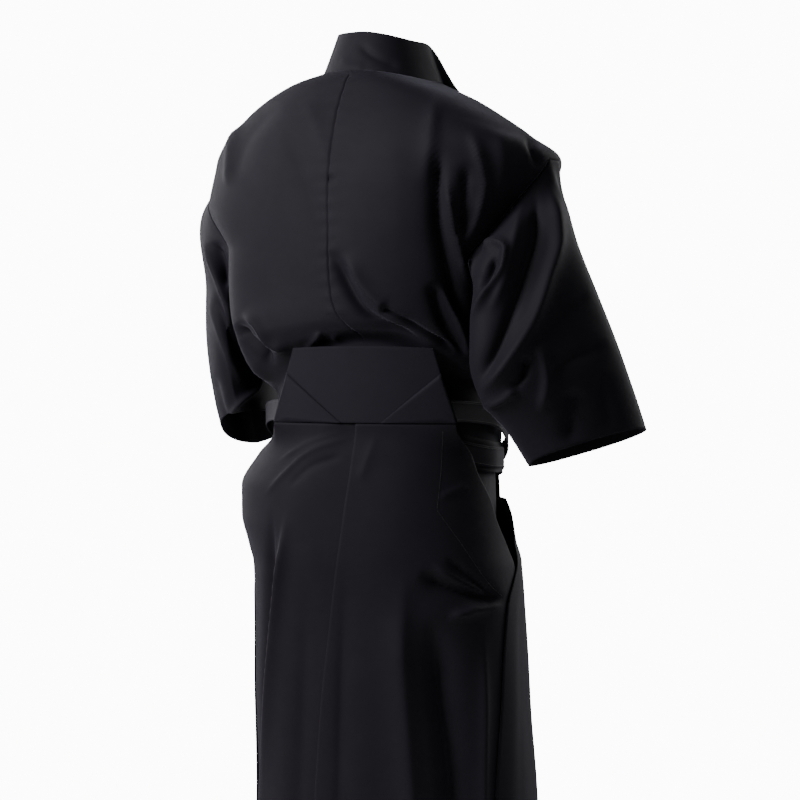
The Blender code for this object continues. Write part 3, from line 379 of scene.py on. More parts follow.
SKIRT_BACK_FOLDS = [
    # the sharp ridge down the left, and the hollow beside it
    Fold(
        seen((286, 508), (281, 561), (274, 632), (264, 736), (259, 800), (246, 1072)),
        0.0075, (0.0045, 0.010), (0.12, 0.02),
    ),
    Fold(seen((273, 500), (269, 600), (262, 740), (242, 1072)), -0.0065, (0.006, 0.006), (0.15, 0.02)),
    Fold(seen((306, 560), (300, 700), (294, 850), (286, 1072)), -0.0030, (0.016, 0.018), (0.3, 0.02)),
    # the drag from the board's foot to the left hip
    Fold(seen((357, 435), (313, 449), (284, 474), (262, 498)), 0.0017, (0.004, 0.006)),
    Fold(seen((351, 429), (309, 442), (276, 463)), 0.0014, (0.003, 0.006)),
    Fold(seen((345, 455), (312, 466), (286, 490)), -0.0013, (0.007, 0.007)),
    Fold(seen((377, 432), (369, 455), (358, 484)), 0.0011, (0.010, 0.012)),
    # the hollows under the side opening on the right
    Fold(seen((418, 572), (448, 588), (478, 597), (506, 600)), -0.0085, (0.014, 0.008), (0.25, 0.2)),
    Fold(seen((445, 558), (470, 577), (500, 598)), -0.0050, (0.007, 0.006), (0.25, 0.2)),
    Fold(seen((430, 563), (462, 583), (494, 597)), 0.0030, (0.005, 0.005)),
    Fold(seen((446, 618), (478, 609), (506, 603)), 0.0055, (0.009, 0.007)),
    Fold(
        seen((404, 560), (402, 640), (408, 740), (414, 850), (410, 1072)),
        0.0080, (0.034, 0.020), (0.2, 0.02),
    ),
    Fold(seen((432, 610), (440, 690), (452, 790), (450, 1072)), -0.0150, (0.022, 0.030), (0.15, 0.02)),
    Fold(seen((484, 620), (484, 720), (483, 1072)), 0.0050, (0.010, 0.010), (0.2, 0.02)),
    Fold(seen((438, 499), (454, 491), (470, 485)), 0.0018, (0.004, 0.004)),
    Fold(seen((348, 540), (342, 650), (338, 800), (330, 1072)), -0.0030, (0.012, 0.026), (0.3, 0.02)),
]
SKIRT_FRONT_FOLDS = [
    Fold([(-0.020, 0.700), (-0.024, 0.400), (-0.030, 0.085)], -0.0060, (0.018, 0.016), (0.3, 0.02)),
    Fold([(0.030, 0.720), (0.040, 0.420), (0.048, 0.085)], 0.0050, (0.018, 0.020), (0.3, 0.02)),
    Fold([(0.148, 0.700), (0.150, 0.400), (0.156, 0.085)], -0.0060, (0.016, 0.018), (0.3, 0.02)),
    Fold([(-0.150, 0.690), (-0.160, 0.400), (-0.170, 0.085)], -0.0060, (0.018, 0.016), (0.3, 0.02)),
]
COLLAR_FOLDS = [
    Fold(seen((356, 42), (372, 55), (402, 68)), -0.0022, (0.007, 0.006)),
    Fold(seen((338, 60), (352, 66), (366, 68)), 0.0010, (0.008, 0.008)),
]


def smooth(x, xs, ys):
    """A curve through the points (xs, ys) that never swings past them, read at x."""
    xs, ys = np.asarray(xs, float), np.asarray(ys, float)
    run = np.diff(xs)
    slope = np.diff(ys) / run
    tangent = np.zeros(len(ys))
    total = slope[:-1] + slope[1:]
    same_way = slope[:-1] * slope[1:] > 0
    safe = np.where(same_way, total, 1.0)
    tangent[1:-1] = np.where(same_way, 2 * slope[:-1] * slope[1:] / safe, 0.0)
    tangent[0], tangent[-1] = slope[0], slope[-1]
    x = np.clip(x, xs[0], xs[-1])
    i = np.clip(np.searchsorted(xs, x, side="right") - 1, 0, len(run) - 1)
    t = (x - xs[i]) / run[i]
    rise = (1 + 2 * t) * (1 - t) ** 2 * ys[i] + t**2 * (3 - 2 * t) * ys[i + 1]
    return rise + t * (1 - t) * run[i] * ((1 - t) * tangent[i] - t * tangent[i + 1])


def column(table, name):
    return [getattr(row, name) for row in table]


def ease(x):
    """0 below 0, 1 above 1, and a soft rise between."""
    t = np.clip(x, 0.0, 1.0)
    return t * t * (3 - 2 * t)


def oval(angle, left, right, back, front, corner=ROUND):
    """A point of a rounded ring with its own reach each way, in degrees from the centre back to the left."""
    sine, cosine = np.sin(np.radians(angle)), np.cos(np.radians(angle))
    power = np.where((sine > 0) & (cosine > 0), corner, ROUND)
    scale = (np.abs(sine) ** power + np.abs(cosine) ** power) ** (-1 / power)
    x = sine * scale * np.where(sine > 0, left, right)
    y = cosine * scale * np.where(cosine > 0, back, front)
    return x, y


def body(level, angle, out=0.0):
    """The jacket's body: level runs up the rows of JACKET, and out stands off its surface."""
    level, angle = np.broadcast_arrays(np.asarray(level, float), np.asarray(angle, float))
    at = {name: smooth(level, range(len(JACKET)), column(JACKET, name)) for name in Ring._fields[1:]}
    x, y = oval(angle, at["left"] + out, at["right"] + out, at["back"] + out, at["front"] + out, at["corner"])
    sine, cosine = np.sin(np.radians(angle)), np.cos(np.radians(angle))
    side = np.where(sine > 0, at["left_height"], at["right_height"])
    middle = np.where(cosine > 0, at["back_height"], at["front_height"])
    height = middle * cosine**2 + side * sine**2
    turn = np.radians(at["turn"])
    return np.stack(
        [x * np.cos(turn) + y * np.sin(turn), y * np.cos(turn) - x * np.sin(turn), height - CARRY_HEIGHT],
        axis=-1,
    )


def body_at(height, angle, out):
    """The point of the jacket's body at a height above the ground, in its lower half."""
    levels = np.linspace(0, ARMPIT, 120)
    out = np.broadcast_to(out, angle.shape)
    rise = body(levels[:, None], angle[None, :], out[None, :])[..., 2]
    level = np.array([np.interp(h - CARRY_HEIGHT, rise[:, i], levels) for i, h in enumerate(height)])
    return body(level, angle, out)


def skirt(table, height, angle, out=0.0):
    """A point of the hakama at a height above the ground, and out off its surface."""
    height, angle = np.broadcast_arrays(np.asarray(height, float), np.asarray(angle, float))
    heights = column(table, "height")
    at = {name: smooth(height, heights, column(table, name)) for name in SkirtRing._fields[1:]}
    x, y = oval(angle, at["left"] + out, at["right"] + out, at["back"] + out, at["front"] + out)
    return np.stack([x + at["axis_x"], y + at["axis_y"], height - CARRY_HEIGHT], axis=-1)


def edge_at(height, name):
    return smooth(height, column(SKIRT_EDGES, "height"), column(SKIRT_EDGES, name))


def outward(grid, axis=(0.0, 0.0)):
    """The unit normals of a grid of points, turned so that most of them point away from the axis."""
    normal = np.cross(np.gradient(grid, axis=1), np.gradient(grid, axis=0))
    normal /= np.maximum(np.linalg.norm(normal, axis=-1, keepdims=True), 1e-12)
    if np.sum(normal[..., :2] * (grid[..., :2] - np.asarray(axis))) < 0:
        normal = -normal
    return normal


def view_axes(turn):
    """Right, up and towards the camera, for a camera at this turn round the wearer."""
    a, e = math.radians(turn), math.radians(CAMERA_RISE)
    back = np.array([math.sin(a) * math.cos(e), -math.cos(a) * math.cos(e), math.sin(e)])
    right = np.array([math.cos(a), math.sin(a), 0.0])
    return right, np.cross(back, right), back


def pictured(points, turn):
    """Where a camera at this turn sees the points, as metres across and up at its aim."""
    right, up, back = view_axes(turn)
    gap = points - np.array([AIM[0], AIM[1], AIM[2] - CARRY_HEIGHT])
    near = CAMERA_AWAY / (CAMERA_AWAY - gap @ back)
    return np.stack([gap @ right * near, AIM[2] + gap @ up * near], axis=-1)


def flowing(line, count=24):
    """A smooth run of points through a fold's line."""
    line = np.array(line, float)
    length = np.concatenate([[0.0], np.cumsum(np.linalg.norm(np.diff(line, axis=0), axis=1))])
    at = np.linspace(0, length[-1], count)
    return np.stack([smooth(at, length, line[:, k]) for k in range(2)], axis=-1)


def nearest_on(flat, line):
    """Signed distance from each point to a line, and how far along the line that is."""
    step = np.linalg.norm(np.diff(line, axis=0), axis=1)
    start = np.concatenate([[0.0], np.cumsum(step)])
    best = np.full(flat.shape[:-1], 1e9)
    side = np.ones(flat.shape[:-1])
    share = np.zeros(flat.shape[:-1])
    for i, length in enumerate(step):
        way = (line[i + 1] - line[i]) / length
        gap = flat - line[i]
        along = np.clip(gap @ way, 0, length)
        off = gap - along[..., None] * way
        distance = np.linalg.norm(off, axis=-1)
        closer = distance < best
        best = np.where(closer, distance, best)
        side = np.where(closer, np.where(gap[..., 0] * way[1] - gap[..., 1] * way[0] < 0, -1.0, 1.0), side)
        share = np.where(closer, (start[i] + along) / start[-1], share)
    return best * side, share


def fold_push(points, normal, folds, turn, depth):
    """How far the folds seen from one turn push points along their normals."""
    flat = pictured(points, turn)
    push = np.zeros(points.shape[:-1])
    for fold in folds:
        near, share = nearest_on(flat, flowing(fold.line))
        width = np.where(near > 0, fold.widths[0], fold.widths[1]) * FOLD_CRISPNESS
        fade = ease(share / fold.fades[0]) * ease((1 - share) / fold.fades[1])
        beyond_crest = np.sqrt((near / width) ** 2 + CREASE_ROUND**2) - CREASE_ROUND
        push += fold.rise * fade * np.exp(-CREASE_TAIL * beyond_crest)
    facing = normal @ view_axes(turn)[2]
    return depth * push * ease((facing + 0.05) / 0.35)


def ripple(points, height=0.0006):
    """The cloth's own slight unevenness, long up and down and short across."""
    waves = [
        (38, 11, 9, 0.3, 1.0), (21, -33, 7, 1.9, 1.0), (-29, 24, 14, 4.1, 0.9), (57, 18, 12, 2.2, 0.6),
        (-17, 61, 10, 5.3, 0.6), (72, -44, 25, 0.9, 0.35), (44, 70, -19, 3.3, 0.35), (15, 12, 42, 1.1, 0.7),
    ]
    total = 0.0
    for x, y, z, phase, share in waves:
        total = total + share * np.sin(points @ np.array([x, y, z], float) + phase)
    return height * total / 2


def creased(points, normal, views, depth, mask=1.0):
    """Points pushed by their folds from each side, and by the cloth's unevenness."""
    push = ripple(points)
    for turn, folds in views:
        push = push + fold_push(points, normal, folds, turn, depth)
    return points + normal * (push * mask)[..., None]


def stand_clear(points, blocker, blocker_normal, clearance):
    """Moves points out of a neighbouring cloth, so that they lie at least clearance off it."""
    tree = KDTree(len(blocker))
    for i, place in enumerate(blocker):
        tree.insert(Vector(place), i)
    tree.balance()
    moved = points.copy()
    for i, place in enumerate(points):
        found = [(index, distance) for _, index, distance in tree.find_n(Vector(place), 4)]
        depth = [float((place - blocker[k]) @ blocker_normal[k]) for k, _ in found]
        short = clearance[i] - min(depth)
        if short > 0 and found[0][1] < 0.12:
            moved[i] = place + blocker_normal[found[0][0]] * short
    return moved


def walled(name, points, faces, wall, material, laid=None, rounded=0.0):
    """A mesh through the points with its wall inward; laid holds each point's place on the flat cut."""
    used = sorted({i for face in faces for i in face})
    place = {old: new for new, old in enumerate(used)}
    mesh = bpy.data.meshes.new(name)
    mesh.from_pydata([tuple(points[i]) for i in used], [], [tuple(place[i] for i in face) for face in faces])
    mesh.update()
    mesh.materials.append(material)
    mesh.shade_smooth()
    if laid is not None:
        flat = mesh.uv_layers.new(name="cut")
        flat.data.foreach_set("uv", np.concatenate(laid).ravel())
    piece = bpy.data.objects.new(name, mesh)
    bpy.context.scene.collection.objects.link(piece)
    solid = piece.modifiers.new("Wall", "SOLIDIFY")
    solid.thickness = wall
    solid.offset = -1.0
    if rounded:
        edge = piece.modifiers.new("Rounded edge", "BEVEL")
        edge.width = rounded
        edge.segments = 2
        edge.limit_method = "ANGLE"
        edge.angle_limit = math.radians(50)
    return piece


def cloth(name, grid, wall, material, hole=None, closed=False, facing_axis=(0.0, 0.0), rounded=0.0):
    """A sheet of cloth through a grid of points, with its place on the flat cut kept for the weave."""
    rows, columns = grid.shape[:2]
    points = grid.reshape(-1, 3)
    wrapped = np.concatenate([grid, grid[:, :1]], axis=1) if closed else grid
    across = np.concatenate(
        [np.zeros((rows, 1)), np.cumsum(np.linalg.norm(np.diff(wrapped, axis=1), axis=2), axis=1)], axis=1
    )
    up = np.concatenate([[0.0], np.cumsum(np.linalg.norm(np.diff(grid, axis=0), axis=2).mean(axis=1))])
    across = across - across[:, -1:] / 2
    quads, laid = [], []
    for r in range(rows - 1):
        for c in range(columns if closed else columns - 1):
            if hole and hole[0] <= r < hole[1] and hole[2] <= c < hole[3]:
                continue
            d = (c + 1) % columns
            quads.append((r * columns + c, r * columns + d, (r + 1) * columns + d, (r + 1) * columns + c))
            laid.append([
                (across[r, c], up[r]), (across[r, c + 1], up[r]),
                (across[r + 1, c + 1], up[r + 1]), (across[r + 1, c], up[r + 1]),
            ])
    corners = points[np.array(quads)]
    facing = np.cross(corners[:, 2] - corners[:, 0], corners[:, 3] - corners[:, 1])
    away = corners.mean(axis=1)[:, :2] - np.asarray(facing_axis)
    if np.sum(facing[:, :2] * away) < 0:
        quads = [quad[::-1] for quad in quads]
        laid = [places[::-1] for places in laid]
    return walled(name, points, quads, wall, material, laid, rounded)


def body_levels(below, beside, above):
    """Levels up the jacket, close together where it shows, with rows at the armhole's foot and top."""
    hidden = np.linspace(0, TUCK, below // 5 + 1)
    return np.concatenate(
        [
            hidden,
            np.linspace(TUCK, ARMPIT, below - below // 5 + 1)[1:],
            np.linspace(ARMPIT, TIP, beside + 1)[1:],
            np.linspace(TIP, NECK, above + 1)[1:],
        ]
    )


def half_angles(levels, side, rear, arm, fore):
    """Angles from the centre back to the front edge for one half, with columns at the armhole's seams."""
    which = "left" if side > 0 else "right"
    at = [row.level for row in ARMHOLE]
    rear_edge = smooth(levels, at, column(ARMHOLE, f"{which}_rear"))
    fore_edge = smooth(levels, at, column(ARMHOLE, f"{which}_fore"))
    front_edge = smooth(levels, range(len(JACKET)), column(JACKET, "front_edge"))
    reach = smooth(levels, range(len(JACKET)), column(JACKET, "left"))
    beside_seam = np.array([0.00001, 0.0006, 0.0011, 0.0018, 0.0028])
    angles = []
    for row in range(len(levels)):
        seam = np.degrees(beside_seam / reach[row])
        far = np.degrees(0.0042 / reach[row])
        spans = [
            seam,
            np.linspace(far, rear_edge[row], rear + 1 - len(seam)),
            np.linspace(rear_edge[row], fore_edge[row], arm + 1)[1:],
            np.linspace(fore_edge[row], front_edge[row], fore + 1)[1:],
        ]
        angles.append(np.concatenate(spans))
    return side * np.array(angles)


def overlap(levels, angles, side):
    """How far the left front stands off, where it lies over the right one."""
    if side < 0:
        return np.zeros(np.broadcast(levels, angles).shape)
    lower = 1 - ease((levels - TIP) / 2.5)
    return FRONT_OVERLAP * lower * ease((angles - 80) / 24)


def body_views(side):
    """The jacket's folds and the turns that they are seen from."""
    return [
        (CAMERA_TURN, JACKET_BACK_FOLDS),
        (0.0, JACKET_FRONT_FOLDS),
        (90.0 if side > 0 else 270.0, JACKET_SIDE_FOLDS),
    ]


def half_body(side, depth):
    """One half of the jacket: a grid from the hem to the neck, and where its armhole lies in it."""
    below, beside, above = ROWS
    rear, arm, fore = COLUMNS
    levels = body_levels(below, beside, above)
    angles = half_angles(levels, side, rear, arm, fore)
    grid = body(levels[:, None], angles, overlap(levels[:, None], angles, side))
    mask = ease((levels - TUCK) / 0.8)[:, None] * ease((NECK + 0.3 - levels) / 1.2)[:, None]
    normal = outward(grid)
    grid = creased(grid, normal, body_views(side), depth, mask)
    from_seam = np.radians(np.abs(angles)) * 0.15
    tucked = 0.0011 * np.exp(-((from_seam / 0.0013) ** 2))
    pucker = 0.0005 * np.sin(grid[..., 2] * 310) * np.exp(-((from_seam / 0.012) ** 2))
    below_collar = ease((NECK - 0.4 - levels) / 0.4)[:, None]
    grid = grid + normal * ((pucker - tucked) * mask * below_collar)[..., None]
    return grid, (below, below + beside, rear, rear + arm)


def armhole_loop(grid, hole):
    """The armhole's edge in two runs: from its top down the back seam, then under the arm and up."""
    low, high, rear, fore = hole
    top = grid[high, rear : fore + 1]
    middle = len(top) // 2
    back_seam = grid[low : high + 1, rear][::-1]
    under = grid[low, rear : fore + 1]
    front_seam = grid[low : high + 1, fore]
    down = np.concatenate([top[: middle + 1][::-1], back_seam[1:]])
    up = np.concatenate([under, front_seam[1:], top[middle:][::-1][1:]])
    return down, up


def resample(path, count):
    length = np.concatenate([[0.0], np.cumsum(np.linalg.norm(np.diff(path, axis=0), axis=1))])
    at = np.linspace(0, length[-1], count)
    return np.stack([np.interp(at, length, path[:, k]) for k in range(3)], axis=-1)


def sleeve_grid(rings, loop, columns, rows_between):
    """A sleeve from the armhole's loop through its rings, as a closed grid."""
    down, up = loop
    half = columns // 2
    first = np.concatenate([resample(down, half + 1)[:-1], resample(up, half + 1)[:-1]])
    stations = [first]
    turn = np.linspace(0, 2 * np.pi, columns, endpoint=False)
    cosine, sine = np.cos(turn), np.sin(turn)
    shape = (np.abs(cosine) ** ROUND + np.abs(sine) ** ROUND) ** (-1 / ROUND)
    for ring in rings:
        crease_at, outer, under, inner = (np.array(place) - [0, 0, CARRY_HEIGHT] for place in ring)
        centre = (crease_at + under) / 2
        lengthways = np.where(cosine[:, None] > 0, crease_at - centre, centre - under)
        across = np.where(sine[:, None] > 0, outer - centre, centre - inner)
        stations.append(centre + lengthways * (cosine * shape)[:, None] + across * (sine * shape)[:, None])
    stations = np.array(stations)
    steps = np.linalg.norm(np.diff(stations, axis=0), axis=2).mean(axis=1)
    reach = np.concatenate([[0.0], np.cumsum(steps)])
    at = [ARMHOLE_GAP]
    for low, high in zip(reach[:-1], reach[1:]):
        at.extend(np.linspace(low, high, rows_between + 1)[1:])
    at = np.array(at)
    grid = np.empty((len(at), columns, 3))
    for c in range(columns):
        for k in range(3):
            grid[:, c, k] = smooth(at, reach, stations[:, c, k])
    return grid, at / reach[-1]


def dressed_sleeve(side, body_grid, hole, depth, columns=150, rows_between=14):
    """A sleeve kept just clear of the jacket's body, with its folds."""
    rings = LEFT_SLEEVE if side > 0 else RIGHT_SLEEVE
    above = (np.arange(len(body_grid)) - hole[0]) / (hole[1] - hole[0])
    step = ARMHOLE_STEP + (UNDERARM_STEP - ARMHOLE_STEP) * (1 - ease(above * 2.5))
    raised = body_grid + outward(body_grid) * step[:, None, None]
    grid, share = sleeve_grid(rings, armhole_loop(raised, hole), columns, rows_between)
    levels = np.linspace(1.0, ARMPIT, 90)
    angles = side * np.linspace(0, 178, 110)
    torso = body(levels[:, None], angles[None, :], overlap(levels[:, None], angles[None, :], side))
    torso_normal = outward(torso)
    torso = creased(torso, torso_normal, body_views(side), depth, ease((levels - TUCK) / 0.8)[:, None])
    clearance = np.repeat(SLEEVE_CLEARANCE * (0.5 + 0.5 * ease(share / 0.06)), columns)
    kept = stand_clear(grid.reshape(-1, 3), torso.reshape(-1, 3), torso_normal.reshape(-1, 3), clearance)
    grid[1:] = kept.reshape(grid.shape)[1:]
    centre = grid[..., :2].mean(axis=(0, 1))
    folds = LEFT_SLEEVE_FOLDS if side > 0 else RIGHT_SLEEVE_FOLDS
    other = 60.0 if side > 0 else 300.0
    start = ease(share / 0.05)[:, None]
    normal = outward(grid, centre)
    views = [(CAMERA_TURN, folds), (other, OUTER_SLEEVE_FOLDS if side > 0 else [])]
    return creased(grid, normal, views, depth, start), centre


def front_line(levels, side):
    """The jacket's front edge on one side, and how far it stands off."""
    edge = side * smooth(levels, range(len(JACKET)), column(JACKET, "front_edge"))
    return edge, overlap(levels, edge, side)


def band_beside(levels, side, steps, width):
    """Lines that run beside the front edge on the body, each a share of the collar's width further on."""
    angle, _ = front_line(levels, side)
    level = levels.astype(float)
    lines = []
    for step in range(steps + 1):
        stand = overlap(level, angle, side)
        if side < 0:
            stand = stand - UNDER_COLLAR_SINK * min(1.0, 2 * step / steps)
        line = body(level, angle, stand)
        lines.append(line)
        up = (body(level + 0.05, angle, stand) - body(level - 0.05, angle, stand)) / 0.1
        round_it = body(level, angle + 0.5, stand) - body(level, angle - 0.5, stand)
        along = np.gradient(line, axis=0)
        along /= np.linalg.norm(along, axis=1, keepdims=True)
        way = side * round_it
        way -= np.sum(way * along, axis=1, keepdims=True) * along
        way *= width / steps / np.linalg.norm(way, axis=1, keepdims=True)
        for i in range(len(level)):
            basis = np.stack([up[i], round_it[i]], axis=1)
            rise, turn = np.linalg.lstsq(basis, way[i], rcond=None)[0]
            level[i] += np.clip(rise, -0.6, 0.6)
            angle[i] += turn
    return np.array(lines)


def collar_grid(levels, neck_angles, width, coarse=4, steps=16):
    """The collar band: up the left front edge, round the neck and down the right front edge."""
    round_neck = body(NECK, neck_angles)
    centre = round_neck[:, :2].mean(axis=0)
    lean = np.radians(20)

    def upright(line):
        away = line[:, :2] - centre
        away /= np.linalg.norm(away, axis=1, keepdims=True)
        return np.column_stack([-np.sin(lean) * away, np.full(len(away), np.cos(lean))])

    sides = []
    stand_up = ease((levels - 11.0) / 2.0)[None, :, None]
    shares = np.linspace(0, 1, coarse + 1)
    for side in (1, -1):
        laid = band_beside(levels, side, coarse, width)
        risen = laid[0][None] + shares[:, None, None] * width * upright(laid[0])[None]
        sides.append(laid * (1 - stand_up) + risen * stand_up)
    neck = round_neck[None] + shares[:, None, None] * width * upright(round_neck)[None]
    grid = np.concatenate([sides[0], neck[:, 1:], sides[1][:, ::-1][:, 1:]], axis=1)
    passes = 40
    for _ in range(passes):
        grid[1:, 1:-1] = (grid[1:, :-2] + 2 * grid[1:, 1:-1] + grid[1:, 2:]) / 4
    first = grid[1] - grid[0]
    beside = stand_up[0]
    round_it = np.ones((len(round_neck) - 1, 1))
    sewn_in = np.concatenate([beside, round_it, beside[::-1][1:]])
    gap = COLLAR_GAP * (1 - sewn_in) - 0.0022 * sewn_in
    grid[0] += first / np.linalg.norm(first, axis=1, keepdims=True) * gap
    kept = grid[::2]
    fine = np.linspace(0, 1, steps + 1)
    known = np.linspace(0, 1, len(kept))
    dense = np.empty((len(fine), grid.shape[1], 3))
    for k in range(3):
        for c in range(grid.shape[1]):
            dense[:, c, k] = smooth(fine, known, kept[:, c, k])
    return dense


def skirt_speed(table, height, angle):
    """Metres round the hakama for one degree of angle."""
    step = skirt(table, height, angle + 0.5) - skirt(table, height, angle - 0.5)
    return np.linalg.norm(step, axis=-1)


def angle_of_x(table, height, x, front):
    """The angle at which the hakama's ring has this x, on its back or its front."""
    angles = np.linspace(-89, 89, 179) + (180 if front else 0)
    places = skirt(table, height, angles)[:, 0]
    order = np.argsort(places)
    return float(np.interp(x, places[order], angles[order]))


def board_face(x, height, out=0.0):
    """The outer face of the back board, and of the hakama's top where it is sewn to the board."""
    y = BOARD_REACH - BOARD_CURVE * (x / (BOARD_BOTTOM_WIDTH / 2)) ** 2 + out
    return np.stack(np.broadcast_arrays(x, y, height - CARRY_HEIGHT), axis=-1)


def fold_path(table, heights, stations, depth):
    """Turns rows of (angle, metres past it, out) stations into points across the hakama at those heights."""
    height = np.asarray(heights, float)[:, None]
    angles, past, out = np.moveaxis(np.array(stations, float), -1, 0)
    turned = angles + past / skirt_speed(table, height, angles)
    base = skirt(table, height, turned)
    across = skirt(table, height, turned + 1) - skirt(table, height, turned - 1)
    low, high = np.maximum(height - 0.006, HEM_HEIGHT), height + 0.006
    up = skirt(table, high, turned) - skirt(table, low, turned)
    normal = np.cross(up, across)
    normal /= np.linalg.norm(normal, axis=-1, keepdims=True)
    push = fold_push(base, normal, SKIRT_BACK_FOLDS, CAMERA_TURN, depth)
    push += fold_push(base, normal, SKIRT_FRONT_FOLDS, 0.0, depth)
    sway = ease((0.80 - height) / 0.5)
    push += ripple(base) * ease((0.955 - height) / 0.05)
    round_it = np.radians(turned)
    push += 0.0022 * sway * np.sin(round_it * 11 + 0.9) * (0.5 + 0.5 * np.sin(round_it * 3 + 2.0))
    return skirt(table, height, turned, out) + normal * push[..., None]


def degrees_of(table, height, angle, distance):
    """The angle that a distance round the hakama makes at one height."""
    return distance / float(skirt_speed(table, height, np.array([angle]))[0])


def back_panel(side, heights, columns, depth):
    """One back panel: the right one folds under at the centre line, and the left one passes beneath it."""
    rows = []
    for height in heights:
        fold_x = float(edge_at(height, "back_fold_x"))
        fold = angle_of_x(BACK_SKIRT, height, fold_x, False)
        edge = side * float(edge_at(height, "back_left" if side > 0 else "back_right"))
        lap = degrees_of(BACK_SKIRT, height, fold, PLEAT_DEPTH)
        if side < 0:
            angles = list(np.linspace(edge, fold - lap, columns)) + list(np.linspace(fold - lap, fold, 8)[1:])
            stations = [(a, 0.0, 0.0) for a in angles]
            stations += [
                (fold, 0.0008, -PLEAT_TURN * 0.2),
                (fold, 0.0011, -PLEAT_TURN / 2),
                (fold, 0.0008, -PLEAT_TURN * 0.8),
            ]
            stations += [(fold, -PLEAT_DEPTH * s, -PLEAT_TURN) for s in (0.0, 0.12, 0.3, 0.5, 0.75, 1.0)]
        else:
            under = -PLEAT_STEP
            stations = [(fold, -PLEAT_DEPTH * s, under) for s in (1.0, 0.75, 0.5, 0.3, 0.12, 0.0)]
            for a in np.linspace(fold, edge, columns)[1:]:
                share = (a - fold) / (edge - fold)
                stations.append((a, 0.0, under * (1 - ease(share / 0.35))))
        rows.append(stations)
    points = fold_path(BACK_SKIRT, heights, rows, depth)
    height = np.asarray(heights, float)[:, None]
    sewn = (1 - ease((BOARD_FOOT_HEIGHT - height) / 0.045))[..., None]
    half = BOARD_BOTTOM_WIDTH / 2 - SEAM_GAP
    on_board = board_face(np.clip(points[..., 0], -half, half), height, np.array(rows, float)[..., 2])
    return points * (1 - sewn) + on_board * sewn


def front_panel(side, heights, columns, depth):
    """One front panel with its knife pleats; the right one folds under at the centre line."""
    rows = []
    for height in heights:
        outer = float(edge_at(height, "outer_pleat"))
        inner = float(edge_at(height, "inner_pleat"))
        centre_x = float(edge_at(height, "front_fold_x"))
        pleats = [angle_of_x(FRONT_SKIRT, height, side * x + centre_x, True) for x in (outer, inner)]
        centre = angle_of_x(FRONT_SKIRT, height, centre_x, True)
        edge = float(edge_at(height, "front_left" if side > 0 else "front_right"))
        edge = edge if side > 0 else 360 - edge
        toward = 1.0 if side > 0 else -1.0
        lap = 0.0022 * (1 - ease((height - SLIT_FOOT_HEIGHT) / 0.03))
        stations = []
        here = edge
        raised = 0.0
        for pleat in pleats:
            lap_turn = toward * degrees_of(FRONT_SKIRT, height, pleat, PLEAT_DEPTH)
            if here == edge:
                angles = list(edge + toward * np.linspace(0, 15, 9))
                angles += list(np.linspace(edge + toward * 16, pleat - lap_turn, columns))
            else:
                angles = list(np.linspace(here, pleat - lap_turn, 16))
            angles += list(np.linspace(pleat - lap_turn, pleat, 8)[1:])
            for a in angles:
                share = (a - here) / (pleat - here)
                out = raised * (1 - ease(share / 0.6))
                if here == edge:
                    out += lap * (1 - ease((abs(a - edge) - 10) / 10))
                stations.append((a, 0.0, out))
            stations += [
                (pleat, toward * 0.0007, -PLEAT_TURN * 0.2),
                (pleat, toward * 0.0010, -PLEAT_TURN / 2),
                (pleat, toward * 0.0007, -PLEAT_TURN * 0.8),
            ]
            stations += [(pleat, -toward * PLEAT_DEPTH * s, -PLEAT_TURN) for s in (0.0, 0.3, 0.6, 1.0)]
            stations += [
                (pleat, -toward * (PLEAT_DEPTH + 0.0003), -(PLEAT_TURN + PLEAT_STEP) / 2),
                (pleat, -toward * PLEAT_DEPTH, -PLEAT_STEP),
            ]
            here, raised = pleat, -PLEAT_STEP
        if side < 0:
            last_lap = toward * degrees_of(FRONT_SKIRT, height, centre, 0.016)
            angles = list(np.linspace(here, centre - last_lap, 14))
            angles += list(np.linspace(centre - last_lap, centre, 7)[1:])
            for a in angles:
                share = (a - here) / (centre - here)
                stations.append((a, 0.0, raised * (1 - ease(share / 0.6))))
            stations += [
                (centre, toward * 0.0007, -PLEAT_TURN * 0.2),
                (centre, toward * 0.0010, -PLEAT_TURN / 2),
                (centre, toward * 0.0007, -PLEAT_TURN * 0.8),
                (centre, 0.0, -PLEAT_TURN),
                (centre, -toward * 0.008, -PLEAT_TURN),
                (centre, -toward * 0.016, -PLEAT_TURN),
            ]
        else:
            for a in np.linspace(here, centre, 16):
                stations.append((a, 0.0, -PLEAT_STEP))
            stations += [(centre, toward * 0.008, -PLEAT_STEP), (centre, toward * 0.016, -PLEAT_STEP)]
        rows.append(stations)
    return fold_path(FRONT_SKIRT, heights, rows, depth)


def band_heights(angle, back, side, front):
    """The height of a band's middle round the waist, low in front and high behind."""
    cosine = np.cos(np.radians(angle))
    middle = np.where(cosine > 0, back, front)
    return middle * cosine**2 + side * (1 - cosine**2)


def waist_band(angle, width, stand, heights, profile):
    """Rows of a flat band round the waist; profile gives how far each share of its width stands off."""
    front_lap = FRONT_OVERLAP * ease((np.abs((angle + 180) % 360 - 180) - 58) / 24)
    middle = band_heights(angle, *heights)
    rows = []
    for share, off in profile:
        rows.append(body_at(middle + share * width, angle, front_lap + stand + off))
    return np.array(rows)


def linear(hex_colour):
    """An sRGB hex colour as the linear values that shaders take."""
    parts = [int(hex_colour.lstrip("#")[i : i + 2], 16) / 255 for i in (0, 2, 4)]
    return tuple(p / 12.92 if p <= 0.04045 else ((p + 0.055) / 1.055) ** 2.4 for p in parts)


